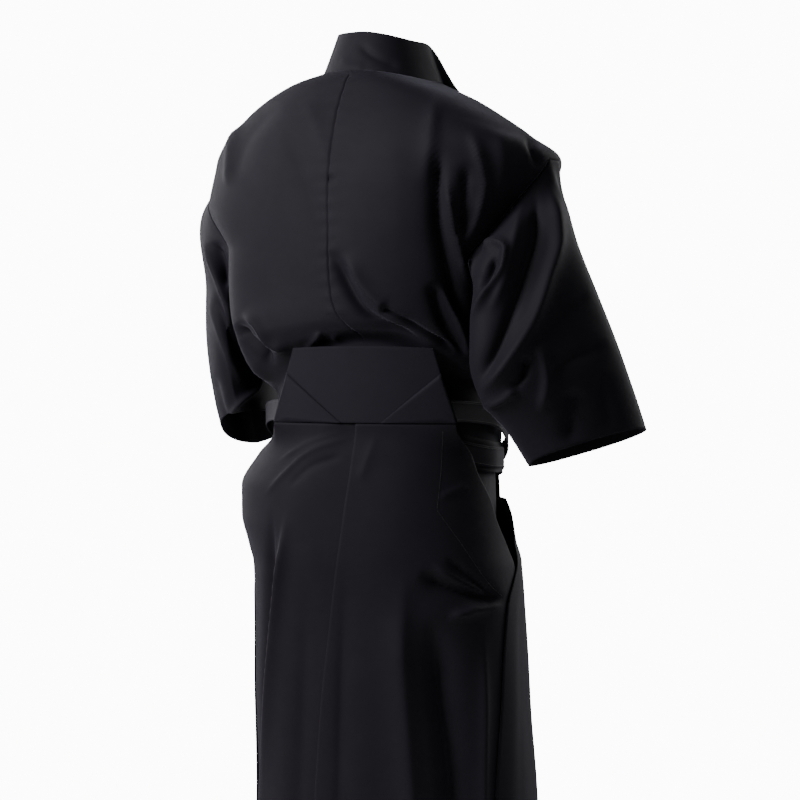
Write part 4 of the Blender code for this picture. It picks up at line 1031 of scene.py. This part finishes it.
def add_node(tree, kind, settings=None, values=None, links=None):
    """Adds one node, sets its options and socket values, and links its inputs from other nodes' outputs."""
    node = tree.nodes.new(kind)
    for name, value in (settings or {}).items():
        setattr(node, name, value)
    for name, value in (values or {}).items():
        node.inputs[name].default_value = value
    for name, source in (links or {}).items():
        tree.links.new(source, node.inputs[name])
    return node


def wave_scale(spacing_mm):
    """The Wave texture's scale for bands this far apart, measured across slanting bands, on a metre map."""
    return 2 * math.pi / 10 / (math.sqrt(2) * spacing_mm / 1000)


def woven(name, colour, lighter, spacing_mm, roughness, sheen, bump):
    """A twill: fine slanting ribs on the cut's own map, a little uneven in tone, with a soft sheen."""
    material = bpy.data.materials.new(name)
    material.use_nodes = True
    tree = material.node_tree
    shader = tree.nodes["Principled BSDF"]
    shader.inputs["Roughness"].default_value = roughness
    shader.inputs["Metallic"].default_value = 0.0
    shader.inputs["IOR"].default_value = 1.45
    shader.inputs["Specular IOR Level"].default_value = 0.16
    shader.inputs["Sheen Weight"].default_value = sheen
    shader.inputs["Sheen Roughness"].default_value = 0.35
    shader.inputs["Sheen Tint"].default_value = (*linear("#B4B0C6"), 1.0)
    cut = add_node(tree, "ShaderNodeUVMap", {"uv_map": "cut"})
    ribs = add_node(
        tree, "ShaderNodeTexWave", {"bands_direction": "DIAGONAL"},
        {"Scale": wave_scale(spacing_mm), "Distortion": 1.2, "Detail": 1.0, "Detail Scale": 1.5},
        {"Vector": cut.outputs["UV"]},
    )
    place = add_node(tree, "ShaderNodeTexCoord")
    # the yarns take the dye a little unevenly over a few centimetres
    tone = add_node(
        tree, "ShaderNodeTexNoise", None, {"Scale": 28.0, "Detail": 4.0, "Roughness": 0.6},
        {"Vector": place.outputs["Object"]},
    )
    mixed = add_node(
        tree, "ShaderNodeMix", {"data_type": "RGBA"},
        {"A": (*colour, 1.0), "B": (*lighter, 1.0)}, None,
    )
    tree.links.new(tone.outputs["Fac"], mixed.inputs["Factor"])
    tree.links.new(mixed.outputs["Result"], shader.inputs["Base Color"])
    relief = add_node(
        tree, "ShaderNodeBump", None, {"Strength": bump, "Distance": 0.0002}, {"Height": ribs.outputs["Fac"]}
    )
    tree.links.new(relief.outputs["Normal"], shader.inputs["Normal"])
    return material


def finish_of(name):
    """The garment's finishes, each made once from the panel's colours."""
    found = bpy.data.materials.get(name)
    if found:
        return found
    colours = bpy.context.scene.iaido_cloth
    base = tuple(colours.twill)
    light = tuple(min(1.0, c * 1.35) for c in base)
    if name == "Polyester twill, woven, black":
        # a dense filament twill: dark, smooth to the eye, with a cool low sheen where it turns away
        return woven(name, base, light, colours.rib_spacing, 0.68, 0.16, 0.35)
    if name == "Polyester twill over stiff board, black":
        # the same twill pulled flat over the board, where its ribs show as a faint even grain
        cover = tuple(colours.board)
        lit_cover = tuple(min(1.0, c * 1.3) for c in cover)
        return woven(name, cover, lit_cover, colours.rib_spacing, 0.70, 0.14, 0.45)
    # spun polyester thread: round, tight and a touch glossier than the cloth
    thread = bpy.data.materials.new(name)
    thread.use_nodes = True
    shader = thread.node_tree.nodes["Principled BSDF"]
    shader.inputs["Roughness"].default_value = 0.42
    shader.inputs["Sheen Weight"].default_value = 0.1
    fibres = add_node(thread.node_tree, "ShaderNodeTexNoise", None, {"Scale": 900.0, "Detail": 2.0})
    tones = add_node(
        thread.node_tree, "ShaderNodeMix", {"data_type": "RGBA"},
        {"A": (*base, 1.0), "B": (*light, 1.0)}, None,
    )
    thread.node_tree.links.new(fibres.outputs["Fac"], tones.inputs["Factor"])
    thread.node_tree.links.new(tones.outputs["Result"], shader.inputs["Base Color"])
    return thread


TWILL = "Polyester twill, woven, black"
COVER = "Polyester twill over stiff board, black"
THREAD = "Spun polyester thread, black"


def wear(piece, node):
    """The piece takes its node's place and rides with the garment."""
    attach(piece, "root")
    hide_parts(node)
    return piece


def surface_of(piece):
    """A tree that finds places on a piece's outer face."""
    mesh = piece.data
    return BVHTree.FromPolygons([v.co for v in mesh.vertices], [tuple(p.vertices) for p in mesh.polygons])


def seen_on(piece, line, turn, count):
    """Points spread along a line, as a camera at this turn sees it, where that falls on the piece."""
    right, up, back = view_axes(turn)
    aim = np.array([AIM[0], AIM[1], AIM[2] - CARRY_HEIGHT])
    eye = aim + back * CAMERA_AWAY
    tree = surface_of(piece)
    found = []
    for across, height in flowing(line, count):
        way = aim + right * across + up * (height - AIM[2]) - eye
        place, normal, _, _ = tree.ray_cast(Vector(eye), Vector(way).normalized())
        if place is not None:
            if normal.dot(Vector(way)) > 0:
                normal = -normal
            found.append((np.array(place), np.array(normal)))
    return found


def stitch_row(name, runs, length, thickness):
    """Machine stitches along runs of (place, normal): short round threads that dip into the cloth."""
    sides = 6
    points, faces = [], []
    for run in runs:
        places = np.array([p for p, _ in run])
        normals = np.array([n for _, n in run])
        reach = np.concatenate([[0.0], np.cumsum(np.linalg.norm(np.diff(places, axis=0), axis=1))])
        for start in np.arange(length * 0.3, reach[-1] - length, length):
            at = start + length * np.array([0.0, 0.14, 0.5, 0.86, 1.0]) * 0.78
            lift = thickness * np.array([-0.6, 0.25, 0.5, 0.25, -0.6])
            size = thickness * np.array([0.25, 0.5, 0.5, 0.5, 0.25])
            middle = np.stack([np.interp(at, reach, places[:, k]) for k in range(3)], axis=-1)
            up = np.stack([np.interp(at, reach, normals[:, k]) for k in range(3)], axis=-1)
            up /= np.linalg.norm(up, axis=1, keepdims=True)
            along = middle[-1] - middle[0]
            along /= max(np.linalg.norm(along), 1e-9)
            across = np.cross(up, along)
            first = len(points)
            for i in range(len(at)):
                for k in range(sides):
                    a = 2 * math.pi * k / sides
                    beside = across[i] * math.cos(a) * size[i]
                    points.append(middle[i] + up[i] * (lift[i] + math.sin(a) * size[i]) + beside)
            for i in range(len(at) - 1):
                for k in range(sides):
                    j = (k + 1) % sides
                    a, b = first + i * sides, first + (i + 1) * sides
                    faces.append((a + k, a + j, b + j, b + k))
            faces.append(tuple(first + k for k in range(sides))[::-1])
            faces.append(tuple(first + (len(at) - 1) * sides + k for k in range(sides)))
    mesh = bpy.data.meshes.new(name)
    mesh.from_pydata([tuple(p) for p in points], [], faces)
    mesh.update()
    mesh.shade_smooth()
    mesh.materials.append(finish_of(THREAD))
    row = bpy.data.objects.new(name, mesh)
    bpy.context.scene.collection.objects.link(row)
    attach(row, "root")
    return row


def grid_run(grid, row):
    """One row of a grid as stitch places with their outward normals."""
    normal = outward(grid)
    return [(grid[row, c], normal[row, c]) for c in range(grid.shape[1])]


class GarmentSizes(bpy.types.PropertyGroup):
    """Sizes of the cloth and its sewing."""

    jacket_wall: FloatProperty(
        name="Jacket cloth", description="Thickness of the jacket's cloth with its seam allowance",
        default=0.0014, min=0.0008, max=0.003, precision=4, unit="LENGTH",
    )
    skirt_wall: FloatProperty(
        name="Hakama cloth", description="Thickness of the hakama's cloth",
        default=0.0012, min=0.0008, max=0.003, precision=4, unit="LENGTH",
    )
    collar_wall: FloatProperty(
        name="Collar band", description="Thickness of the folded collar band",
        default=0.0022, min=0.001, max=0.004, precision=4, unit="LENGTH",
    )
    collar_width: FloatProperty(
        name="Collar width", description="Width of the folded collar band",
        default=0.056, min=0.04, max=0.07, precision=3, unit="LENGTH",
    )
    sash_width: FloatProperty(
        name="Sash width", description="Width of the sash where it shows",
        default=0.064, min=0.05, max=0.08, precision=3, unit="LENGTH",
    )
    tie_width: FloatProperty(
        name="Tie width", description="Width of the hakama's ties",
        default=0.028, min=0.02, max=0.04, precision=3, unit="LENGTH",
    )
    fold_depth: FloatProperty(
        name="Fold depth", description="How deep the folds are, as a share of their listed rises",
        default=1.5, min=0.0, max=2.0, subtype="FACTOR",
    )
    stitch_length: FloatProperty(
        name="Stitch length", description="Length of one machine stitch",
        default=0.0032, min=0.002, max=0.006, precision=4, unit="LENGTH",
    )
    thread_thickness: FloatProperty(
        name="Thread", description="Thickness of the sewing thread",
        default=0.0006, min=0.0003, max=0.001, precision=4, unit="LENGTH",
    )


class ClothColours(bpy.types.PropertyGroup):
    """Colours of the cloth and the spacing of its weave."""

    twill: FloatVectorProperty(
        name="Twill", description="Colour of the jacket, sash and hakama",
        default=linear("#1A181F"), min=0.0, max=1.0, subtype="COLOR",
    )
    board: FloatVectorProperty(
        name="Board cover", description="Colour of the cloth over the back board",
        default=linear("#1D1B23"), min=0.0, max=1.0, subtype="COLOR",
    )
    rib_spacing: FloatProperty(
        name="Twill ribs",
        description="Spacing of the twill's ribs in millimetres, drawn about twice as coarse as real",
        default=1.1, min=0.4, max=3.0,
    )


class StudioSettings(bpy.types.PropertyGroup):
    """Lights and floor of the studio."""

    key_power: FloatProperty(
        name="Key light", description="Power of the large soft light behind the wearer's left",
        default=74.0, min=0.0, unit="POWER",
    )
    fill_power: FloatProperty(
        name="Fill light", description="Power of the weak light from the other side",
        default=8.0, min=0.0, unit="POWER",
    )
    edge_power: FloatProperty(
        name="Edge lights",
        description="Power of each light that a white backdrop would throw past the edges",
        default=56.0, min=0.0, unit="POWER",
    )
    surround: FloatProperty(
        name="Surround", description="Brightness of the room's own soft light",
        default=0.07, min=0.0, max=2.0,
    )
    floor: FloatVectorProperty(
        name="Floor", description="Colour of the floor",
        default=linear("#EDEDEB"), min=0.0, max=1.0, subtype="COLOR",
    )


class IAIDO_OT_jacket(bpy.types.Operator):
    """Build the jacket's two halves, with the centre back seam and the folds of the blouse over the waist"""

    bl_idname = "iaido.jacket"
    bl_label = "Jacket body"

    def execute(self, context):
        sizes = context.scene.iaido_sizes
        for side, node in ((1, "jacket_left"), (-1, "jacket_right")):
            grid, hole = half_body(side, sizes.fold_depth)
            piece = cloth(f"{node}_cloth", grid, sizes.jacket_wall, finish_of(TWILL), hole=hole)
            wear(piece, node)
        return {"FINISHED"}


class IAIDO_OT_sleeves(bpy.types.Operator):
    """Build the two wide sleeves, each set into its armhole and hanging from the shoulder"""

    bl_idname = "iaido.sleeves"
    bl_label = "Sleeves"

    def execute(self, context):
        sizes = context.scene.iaido_sizes
        for side, node in ((1, "sleeve_left"), (-1, "sleeve_right")):
            grid, hole = half_body(side, sizes.fold_depth)
            tube, centre = dressed_sleeve(side, grid, hole, sizes.fold_depth)
            piece = cloth(
                f"{node}_cloth", tube, sizes.jacket_wall, finish_of(TWILL), closed=True, facing_axis=centre
            )
            wear(piece, node)
        return {"FINISHED"}


class IAIDO_OT_collar(bpy.types.Operator):
    """Build the folded collar band, up one front edge, round the neck and down the other"""

    bl_idname = "iaido.collar"
    bl_label = "Collar"

    def execute(self, context):
        sizes = context.scene.iaido_sizes
        levels = body_levels(*ROWS)
        top = half_angles(levels, 1, *COLUMNS)[-1]
        neck_angles = np.concatenate([top[::-1], -top])
        grid = collar_grid(levels[levels >= 1.0], neck_angles, sizes.collar_width)
        normal = outward(grid)
        push = fold_push(grid, normal, COLLAR_FOLDS, CAMERA_TURN, sizes.fold_depth)
        grid = grid + normal * push[..., None]
        piece = cloth("collar_cloth", grid, sizes.collar_wall, finish_of(TWILL), rounded=0.0006)
        wear(piece, "collar")
        return {"FINISHED"}


class IAIDO_OT_sash(bpy.types.Operator):
    """Build the sash, wound round the waist so that the edges of its turns show"""

    bl_idname = "iaido.sash"
    bl_label = "Sash"

    def execute(self, context):
        sizes = context.scene.iaido_sizes
        angle = np.linspace(0, 360, 220, endpoint=False)
        profile = [(s, 0.0) for s in (-0.5, -0.49, -0.46)]
        for low, high, drop in ((-0.46, -0.17, 0.0), (-0.16, 0.15, -0.0007), (0.16, 0.5, -0.0014)):
            shares = np.linspace(low, high, 9)
            from_middle = np.abs(2 * (shares - low) / (high - low) - 1)
            profile += list(zip(shares, drop - 0.0004 * ease((from_middle - 0.8) / 0.2)))
        grid = waist_band(angle, sizes.sash_width, 0.0036, (0.972, 0.936, 0.902), profile[2:])
        piece = cloth("sash_cloth", grid, 0.0020, finish_of(TWILL), closed=True, rounded=0.0004)
        wear(piece, "sash")
        return {"FINISHED"}


class IAIDO_OT_hakama(bpy.types.Operator):
    """Build the hakama's four panels with their pleats, and the stitched facings of its side openings"""

    bl_idname = "iaido.hakama"
    bl_label = "Hakama"

    def execute(self, context):
        sizes = context.scene.iaido_sizes
        depth = sizes.fold_depth
        low = list(np.linspace(SLIT_FOOT_HEIGHT, 0.44, 84)[1:]) + list(np.linspace(0.44, HEM_HEIGHT, 56)[1:])
        back_heights = list(np.linspace(BOARD_FOOT_HEIGHT - 0.0008, SLIT_FOOT_HEIGHT, 60)) + low
        front_heights = list(np.linspace(FRONT_TOP_HEIGHT, SLIT_FOOT_HEIGHT, 24)) + low
        for side, which in ((1, "left"), (-1, "right")):
            back = back_panel(side, back_heights, 110 if side < 0 else 84, depth)
            piece = cloth(f"hakama_back_{which}_cloth", back, sizes.skirt_wall, finish_of(TWILL))
            wear(piece, f"hakama_back_{which}")
            front = front_panel(side, front_heights, 44, depth)
            piece = cloth(f"hakama_front_{which}_cloth", front, sizes.skirt_wall, finish_of(TWILL))
            wear(piece, f"hakama_front_{which}")
        right = bpy.data.objects["hakama_back_right_cloth"]
        facing = seen((443, 431), (441, 470), (437, 510))
        facing_foot = seen((437, 510), (464, 548), (491, 586), (503, 597))
        runs = [seen_on(right, line, CAMERA_TURN, 70) for line in (facing, facing_foot)]
        stitch_row("facing_stitches_right", runs, sizes.stitch_length, sizes.thread_thickness)
        left = bpy.data.objects["hakama_back_left_cloth"]
        facing = [(-0.062, 0.955), (-0.050, 0.860), (0.005, 0.800)]
        stitch_row(
            "facing_stitches_left", [seen_on(left, facing, 115.0, 90)],
            sizes.stitch_length, sizes.thread_thickness,
        )
        return {"FINISHED"}


class IAIDO_OT_board(bpy.types.Operator):
    """Build the stiff back board in its cloth cover, with the two corner pieces sewn across it"""

    bl_idname = "iaido.board"
    bl_label = "Back board"

    def execute(self, context):
        shares = np.linspace(0, 1, 30)
        across = np.linspace(-1, 1, 90)
        half = (BOARD_BOTTOM_WIDTH + (BOARD_TOP_WIDTH - BOARD_BOTTOM_WIDTH) * shares) / 2
        x = across[None, :] * half[:, None]
        arch = 0.003 * (1 - across[None, :] ** 2) * shares[:, None]
        height = BOARD_FOOT_HEIGHT + BOARD_HEIGHT * shares[:, None] + arch
        board = cloth("back_board_cover", board_face(x, height), 0.0040, finish_of(COVER), rounded=0.0009)
        wear(board, "back_board")
        for side, node in ((1, "board_corner_left"), (-1, "board_corner_right")):
            wear(self.corner(side, f"{node}_cover"), node)
        return {"FINISHED"}

    def corner(self, side, name):
        inner_x, top_rise = 0.027, 0.065
        slope = (BOARD_BOTTOM_WIDTH - BOARD_TOP_WIDTH) / 2 / BOARD_HEIGHT
        top_x = BOARD_BOTTOM_WIDTH / 2 - slope * top_rise
        corner_x = BOARD_BOTTOM_WIDTH / 2
        places = np.concatenate([np.linspace(inner_x, top_x, 30), np.linspace(top_x, corner_x, 12)[1:]])
        rows = 10
        grid = np.empty((rows, len(places), 3))
        for i, place in enumerate(places):
            if place <= top_x:
                rise = top_rise * (place - inner_x) / (top_x - inner_x)
            else:
                rise = (corner_x - place) / slope
            rise = max(rise, 0.0004)
            for r in range(rows):
                lift = rise * r / (rows - 1)
                edge = 0.0007 * ease((rise - lift) / 0.0018)
                grid[r, i] = board_face(
                    side * place, BOARD_FOOT_HEIGHT + 0.0003 + lift, 0.0008 + edge
                )
        return cloth(name, grid, 0.0008, finish_of(COVER), facing_axis=(0.0, 0.0))


class IAIDO_OT_ties(bpy.types.Operator):
    """Build the folded ties round the waist, the knot in front and its two hanging ends"""

    bl_idname = "iaido.ties"
    bl_label = "Ties and knot"

    def execute(self, context):
        sizes = context.scene.iaido_sizes
        angle = np.linspace(0, 360, 240, endpoint=False)
        edge = [-0.5, -0.47, -0.40, -0.34, -0.2, 0.0, 0.2, 0.34, 0.40, 0.47, 0.5]
        puff = {0.5: -0.0005, 0.47: -0.0001, 0.40: 0.0, 0.34: -0.0002}
        profile = [(s, puff.get(abs(s), 0.0)) for s in edge]
        grid = waist_band(angle, sizes.tie_width, 0.0058, (0.955, 0.925, 0.884), profile)
        front = cloth("front_tie_band", grid, 0.0013, finish_of(TWILL), closed=True)
        wear(front, "front_tie")
        runs = [grid_run(grid, 2), grid_run(grid, len(edge) - 3)]
        for side, node in ((1, "back_tie_left"), (-1, "back_tie_right")):
            rows = self.back_tie(side, sizes.tie_width, profile)
            piece = cloth(f"{node}_band", rows, 0.0013, finish_of(TWILL))
            wear(piece, node)
            runs += [grid_run(rows, 2), grid_run(rows, len(edge) - 3)]
        for side, node in ((1, "tie_end_left"), (-1, "tie_end_right")):
            rows = self.tie_end(side, sizes.tie_width)
            piece = cloth(f"{node}_band", rows, 0.0013, finish_of(TWILL), facing_axis=(0.0, 0.0))
            wear(piece, node)
            turned = rows.transpose(1, 0, 2)
            runs += [grid_run(turned, 1), grid_run(turned, turned.shape[0] - 2)]
        stitch_row("tie_stitches", runs, sizes.stitch_length * 1.2, sizes.thread_thickness * 0.7)
        self.knot()
        return {"FINISHED"}

    def back_tie(self, side, width, profile):
        share = np.linspace(0, 1, 110)
        middle = smooth(share, [0, 0.12, 0.4, 0.72, 1], [0.991, 0.985, 0.952, 0.908, 0.888])
        stand = 0.0105 + 0.002 * (1 - share)
        away = ease(share / 0.16)[:, None]
        slope = (BOARD_BOTTOM_WIDTH - BOARD_TOP_WIDTH) / 2 / BOARD_HEIGHT
        angle = side * (54 + 122 * share)
        front_lap = FRONT_OVERLAP * ease((np.abs(angle) - 58) / 24)
        rows = []
        for part, off in profile:
            rise = middle[0] + part * width - BOARD_FOOT_HEIGHT
            edge_x = side * (BOARD_BOTTOM_WIDTH / 2 - slope * rise + 2 * SEAM_GAP)
            start = board_face(edge_x, middle[0] + part * width, -0.001)
            band = body_at(middle + part * width, angle, front_lap + stand + off)
            shift = (share * 0.02 * side)[:, None] * [1, 0, 0]
            rows.append((start + shift) * (1 - away) + band * away)
        return np.array(rows)

    def knot_place(self):
        place = body_at(np.array([KNOT_HEIGHT]), np.array([180.0]), np.array([0.0]))[0]
        return place + np.array([0.0, -FRONT_OVERLAP - KNOT_STAND, 0.0])

    def tie_end(self, side, width):
        heights = np.linspace(0.8656, 0.8656 - TIE_END_LENGTH, 60)
        knot_y = self.knot_place()[1]
        shares = np.array([-0.5, -0.42, -0.34, -0.15, 0.0, 0.15, 0.34, 0.42, 0.5])
        rows = []
        for height in heights:
            drop = heights[0] - height
            spread = side * (0.019 + 0.10 * drop)
            angles = np.array([angle_of_x(FRONT_SKIRT, height, spread + s * width, True) for s in shares])
            row = skirt(FRONT_SKIRT, height, angles, 0.0030)
            near = float(ease(1 - drop / 0.05))
            row[:, 1] = row[:, 1] * (1 - near) + knot_y * near
            row[:, 1] -= 0.0012 * math.sin(drop * 42 + side) * ease(drop / 0.04)
            rows.append(row)
        return np.array(rows)

    def knot(self):
        """The knot: one turn of tie stood upright round the crossing, over one laid level."""
        centre = self.knot_place()
        turn = np.linspace(0, 2 * np.pi, 64, endpoint=False)

        def rounded(a, wide, tall, power=4.0):
            c, s = np.cos(a), np.sin(a)
            scale = (np.abs(c) ** power + np.abs(s) ** power) ** (-1 / power)
            return c * scale * wide / 2, s * scale * tall / 2

        upright, level = [], []
        for share in np.linspace(-0.5, 0.5, 13):
            round_off = 0.0012 * ease((abs(share) - 0.38) / 0.12)
            y, z = rounded(turn, 0.0138 - 2 * round_off, 0.0396 - 2 * round_off)
            pinch = 1 - 0.10 * np.cos(turn) ** 2
            x = share * 0.030 * pinch + 0.0015 * np.sin(turn)
            y = y + 0.0004 * np.sin(turn * 3 + share * 9)
            upright.append(np.stack([x, y, z], axis=-1) + centre)
            x, y = rounded(turn, 0.0336 - 2 * round_off, 0.0094 - 2 * round_off, 6.0)
            level.append(np.stack([x, y, np.full(len(turn), share * 0.026)], axis=-1) + centre)
        turns = (("tie_knot_wrap", upright, 0.030, 0.094), ("tie_knot_core", level, 0.026, 0.082))
        for name, rows, wide, around in turns:
            piece = cloth(name, np.array(rows), 0.0011, finish_of(TWILL), closed=True, facing_axis=centre[:2])
            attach(piece, "root")
            if name == "tie_knot_wrap":
                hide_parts("tie_knot")


class IAIDO_OT_studio(bpy.types.Operator):
    """Set up the pale floor, the soft lights, the white surround and the camera"""

    bl_idname = "iaido.studio"
    bl_label = "Studio"

    def execute(self, context):
        studio = context.scene.iaido_studio
        self.floor(tuple(studio.floor))
        self.surround(context, studio.surround)
        self.light(context, "Key softbox", CAMERA_TURN - 58, 20, 2.4, 1.1, studio.key_power)
        self.light(context, "Fill softbox", CAMERA_TURN + 60, 24, 3.2, 1.6, studio.fill_power)
        self.light(context, "Backdrop left", CAMERA_TURN - 128, 12, 2.8, 2.0, studio.edge_power)
        self.light(context, "Backdrop right", CAMERA_TURN + 132, 12, 2.8, 2.0, studio.edge_power * 0.7)
        self.camera(context)
        return {"FINISHED"}

    def floor(self, colour):
        """A round floor that melts into the white surround towards its rim."""
        mesh = bpy.data.meshes.new("studio_floor")
        turn = np.linspace(0, 2 * math.pi, FLOOR_SIDES, endpoint=False)
        ring = [(FLOOR_REACH * math.cos(a), FLOOR_REACH * math.sin(a), -CARRY_HEIGHT) for a in turn]
        mesh.from_pydata(ring, [], [tuple(range(FLOOR_SIDES))])
        material = bpy.data.materials.new("Matt white studio floor, painted")
        material.use_nodes = True
        tree = material.node_tree
        shader = tree.nodes["Principled BSDF"]
        shader.inputs["Base Color"].default_value = (*colour, 1.0)
        shader.inputs["Roughness"].default_value = 0.8
        place = add_node(tree, "ShaderNodeTexCoord")
        flat = add_node(
            tree, "ShaderNodeVectorMath", {"operation": "MULTIPLY"}, {1: (1.0, 1.0, 0.0)},
            {0: place.outputs["Object"]},
        )
        away = add_node(
            tree, "ShaderNodeVectorMath", {"operation": "LENGTH"}, None, {0: flat.outputs["Vector"]}
        )
        fade = add_node(
            tree, "ShaderNodeMapRange", {"interpolation_type": "SMOOTHERSTEP"},
            {"From Min": 0.7, "From Max": 2.15, "To Min": 1.0, "To Max": 0.0},
            {"Value": away.outputs["Value"]},
        )
        tree.links.new(fade.outputs["Result"], shader.inputs["Alpha"])
        mesh.materials.append(material)
        floor = bpy.data.objects.new("studio_floor", mesh)
        bpy.context.scene.collection.objects.link(floor)

    def surround(self, context, brightness):
        """White behind the object, and a much weaker even light on it."""
        world = bpy.data.worlds.new("White studio")
        context.scene.world = world
        world.use_nodes = True
        tree = world.node_tree
        soft = tree.nodes["Background"]
        soft.inputs["Color"].default_value = (*linear("#F4F5F8"), 1.0)
        soft.inputs["Strength"].default_value = brightness
        white = add_node(
            tree, "ShaderNodeBackground", None, {"Color": (1.0, 1.0, 1.0, 1.0), "Strength": BACKDROP_GLOW}
        )
        path = add_node(tree, "ShaderNodeLightPath")
        both = add_node(
            tree, "ShaderNodeMixShader", None, None,
            {0: path.outputs["Is Camera Ray"], 1: soft.outputs["Background"], 2: white.outputs["Background"]},
        )
        tree.links.new(both.outputs["Shader"], tree.nodes["World Output"].inputs["Surface"])

    def light(self, context, name, turn, rise, away, size, power):
        data = bpy.data.lights.new(name, "AREA")
        data.shape = "SQUARE"
        data.size = size
        data.energy = power
        lamp = bpy.data.objects.new(name, data)
        context.scene.collection.objects.link(lamp)
        a, e = math.radians(turn), math.radians(rise)
        back = Vector((math.sin(a) * math.cos(e), -math.cos(a) * math.cos(e), math.sin(e)))
        lamp.location = Vector((0.0, 0.0, -0.15)) + back * away
        lamp.rotation_mode = "QUATERNION"
        lamp.rotation_quaternion = (-back).to_track_quat("-Z", "Y")

    def camera(self, context):
        data = bpy.data.cameras.new("Studio camera")
        data.sensor_fit = "AUTO"
        data.angle = 2 * math.atan(VIEW_HEIGHT / 2 / CAMERA_AWAY)
        data.clip_end = 40.0
        camera = bpy.data.objects.new("Studio camera", data)
        context.scene.collection.objects.link(camera)
        _, _, back = view_axes(CAMERA_TURN)
        camera.location = Vector((AIM[0], AIM[1], AIM[2] - CARRY_HEIGHT)) + Vector(back) * CAMERA_AWAY
        camera.rotation_mode = "QUATERNION"
        camera.rotation_quaternion = (-Vector(back)).to_track_quat("-Z", "Y")
        context.scene.camera = camera


OPERATORS = [
    IAIDO_OT_jacket, IAIDO_OT_sleeves, IAIDO_OT_collar, IAIDO_OT_sash,
    IAIDO_OT_board, IAIDO_OT_hakama, IAIDO_OT_ties, IAIDO_OT_studio,
]


class IAIDO_PT_garment(bpy.types.Panel):
    """Lists the garment's sizes and colours, and a button for each piece"""

    bl_label = "Iaido gi"
    bl_idname = "IAIDO_PT_garment"
    bl_space_type = "VIEW_3D"
    bl_region_type = "UI"
    bl_category = "Iaido gi"

    def draw(self, context):
        for group in (context.scene.iaido_sizes, context.scene.iaido_cloth, context.scene.iaido_studio):
            box = self.layout.box()
            for name in group.__annotations__:
                box.prop(group, name)
        for operator in OPERATORS:
            self.layout.operator(operator.bl_idname)


CLASSES = [GarmentSizes, ClothColours, StudioSettings, *OPERATORS, IAIDO_PT_garment]


def register():
    for item in CLASSES:
        bpy.utils.register_class(item)
    bpy.types.Scene.iaido_sizes = PointerProperty(type=GarmentSizes)
    bpy.types.Scene.iaido_cloth = PointerProperty(type=ClothColours)
    bpy.types.Scene.iaido_studio = PointerProperty(type=StudioSettings)


def unregister():
    del bpy.types.Scene.iaido_studio
    del bpy.types.Scene.iaido_cloth
    del bpy.types.Scene.iaido_sizes
    for item in reversed(CLASSES):
        bpy.utils.unregister_class(item)


def main():
    register()
    bpy.ops.iaido.jacket()
    bpy.ops.iaido.sleeves()
    bpy.ops.iaido.collar()
    bpy.ops.iaido.sash()
    bpy.ops.iaido.board()
    bpy.ops.iaido.ties()
    bpy.ops.iaido.hakama()
    bpy.ops.iaido.studio()


if __name__ == "__main__":
    main()
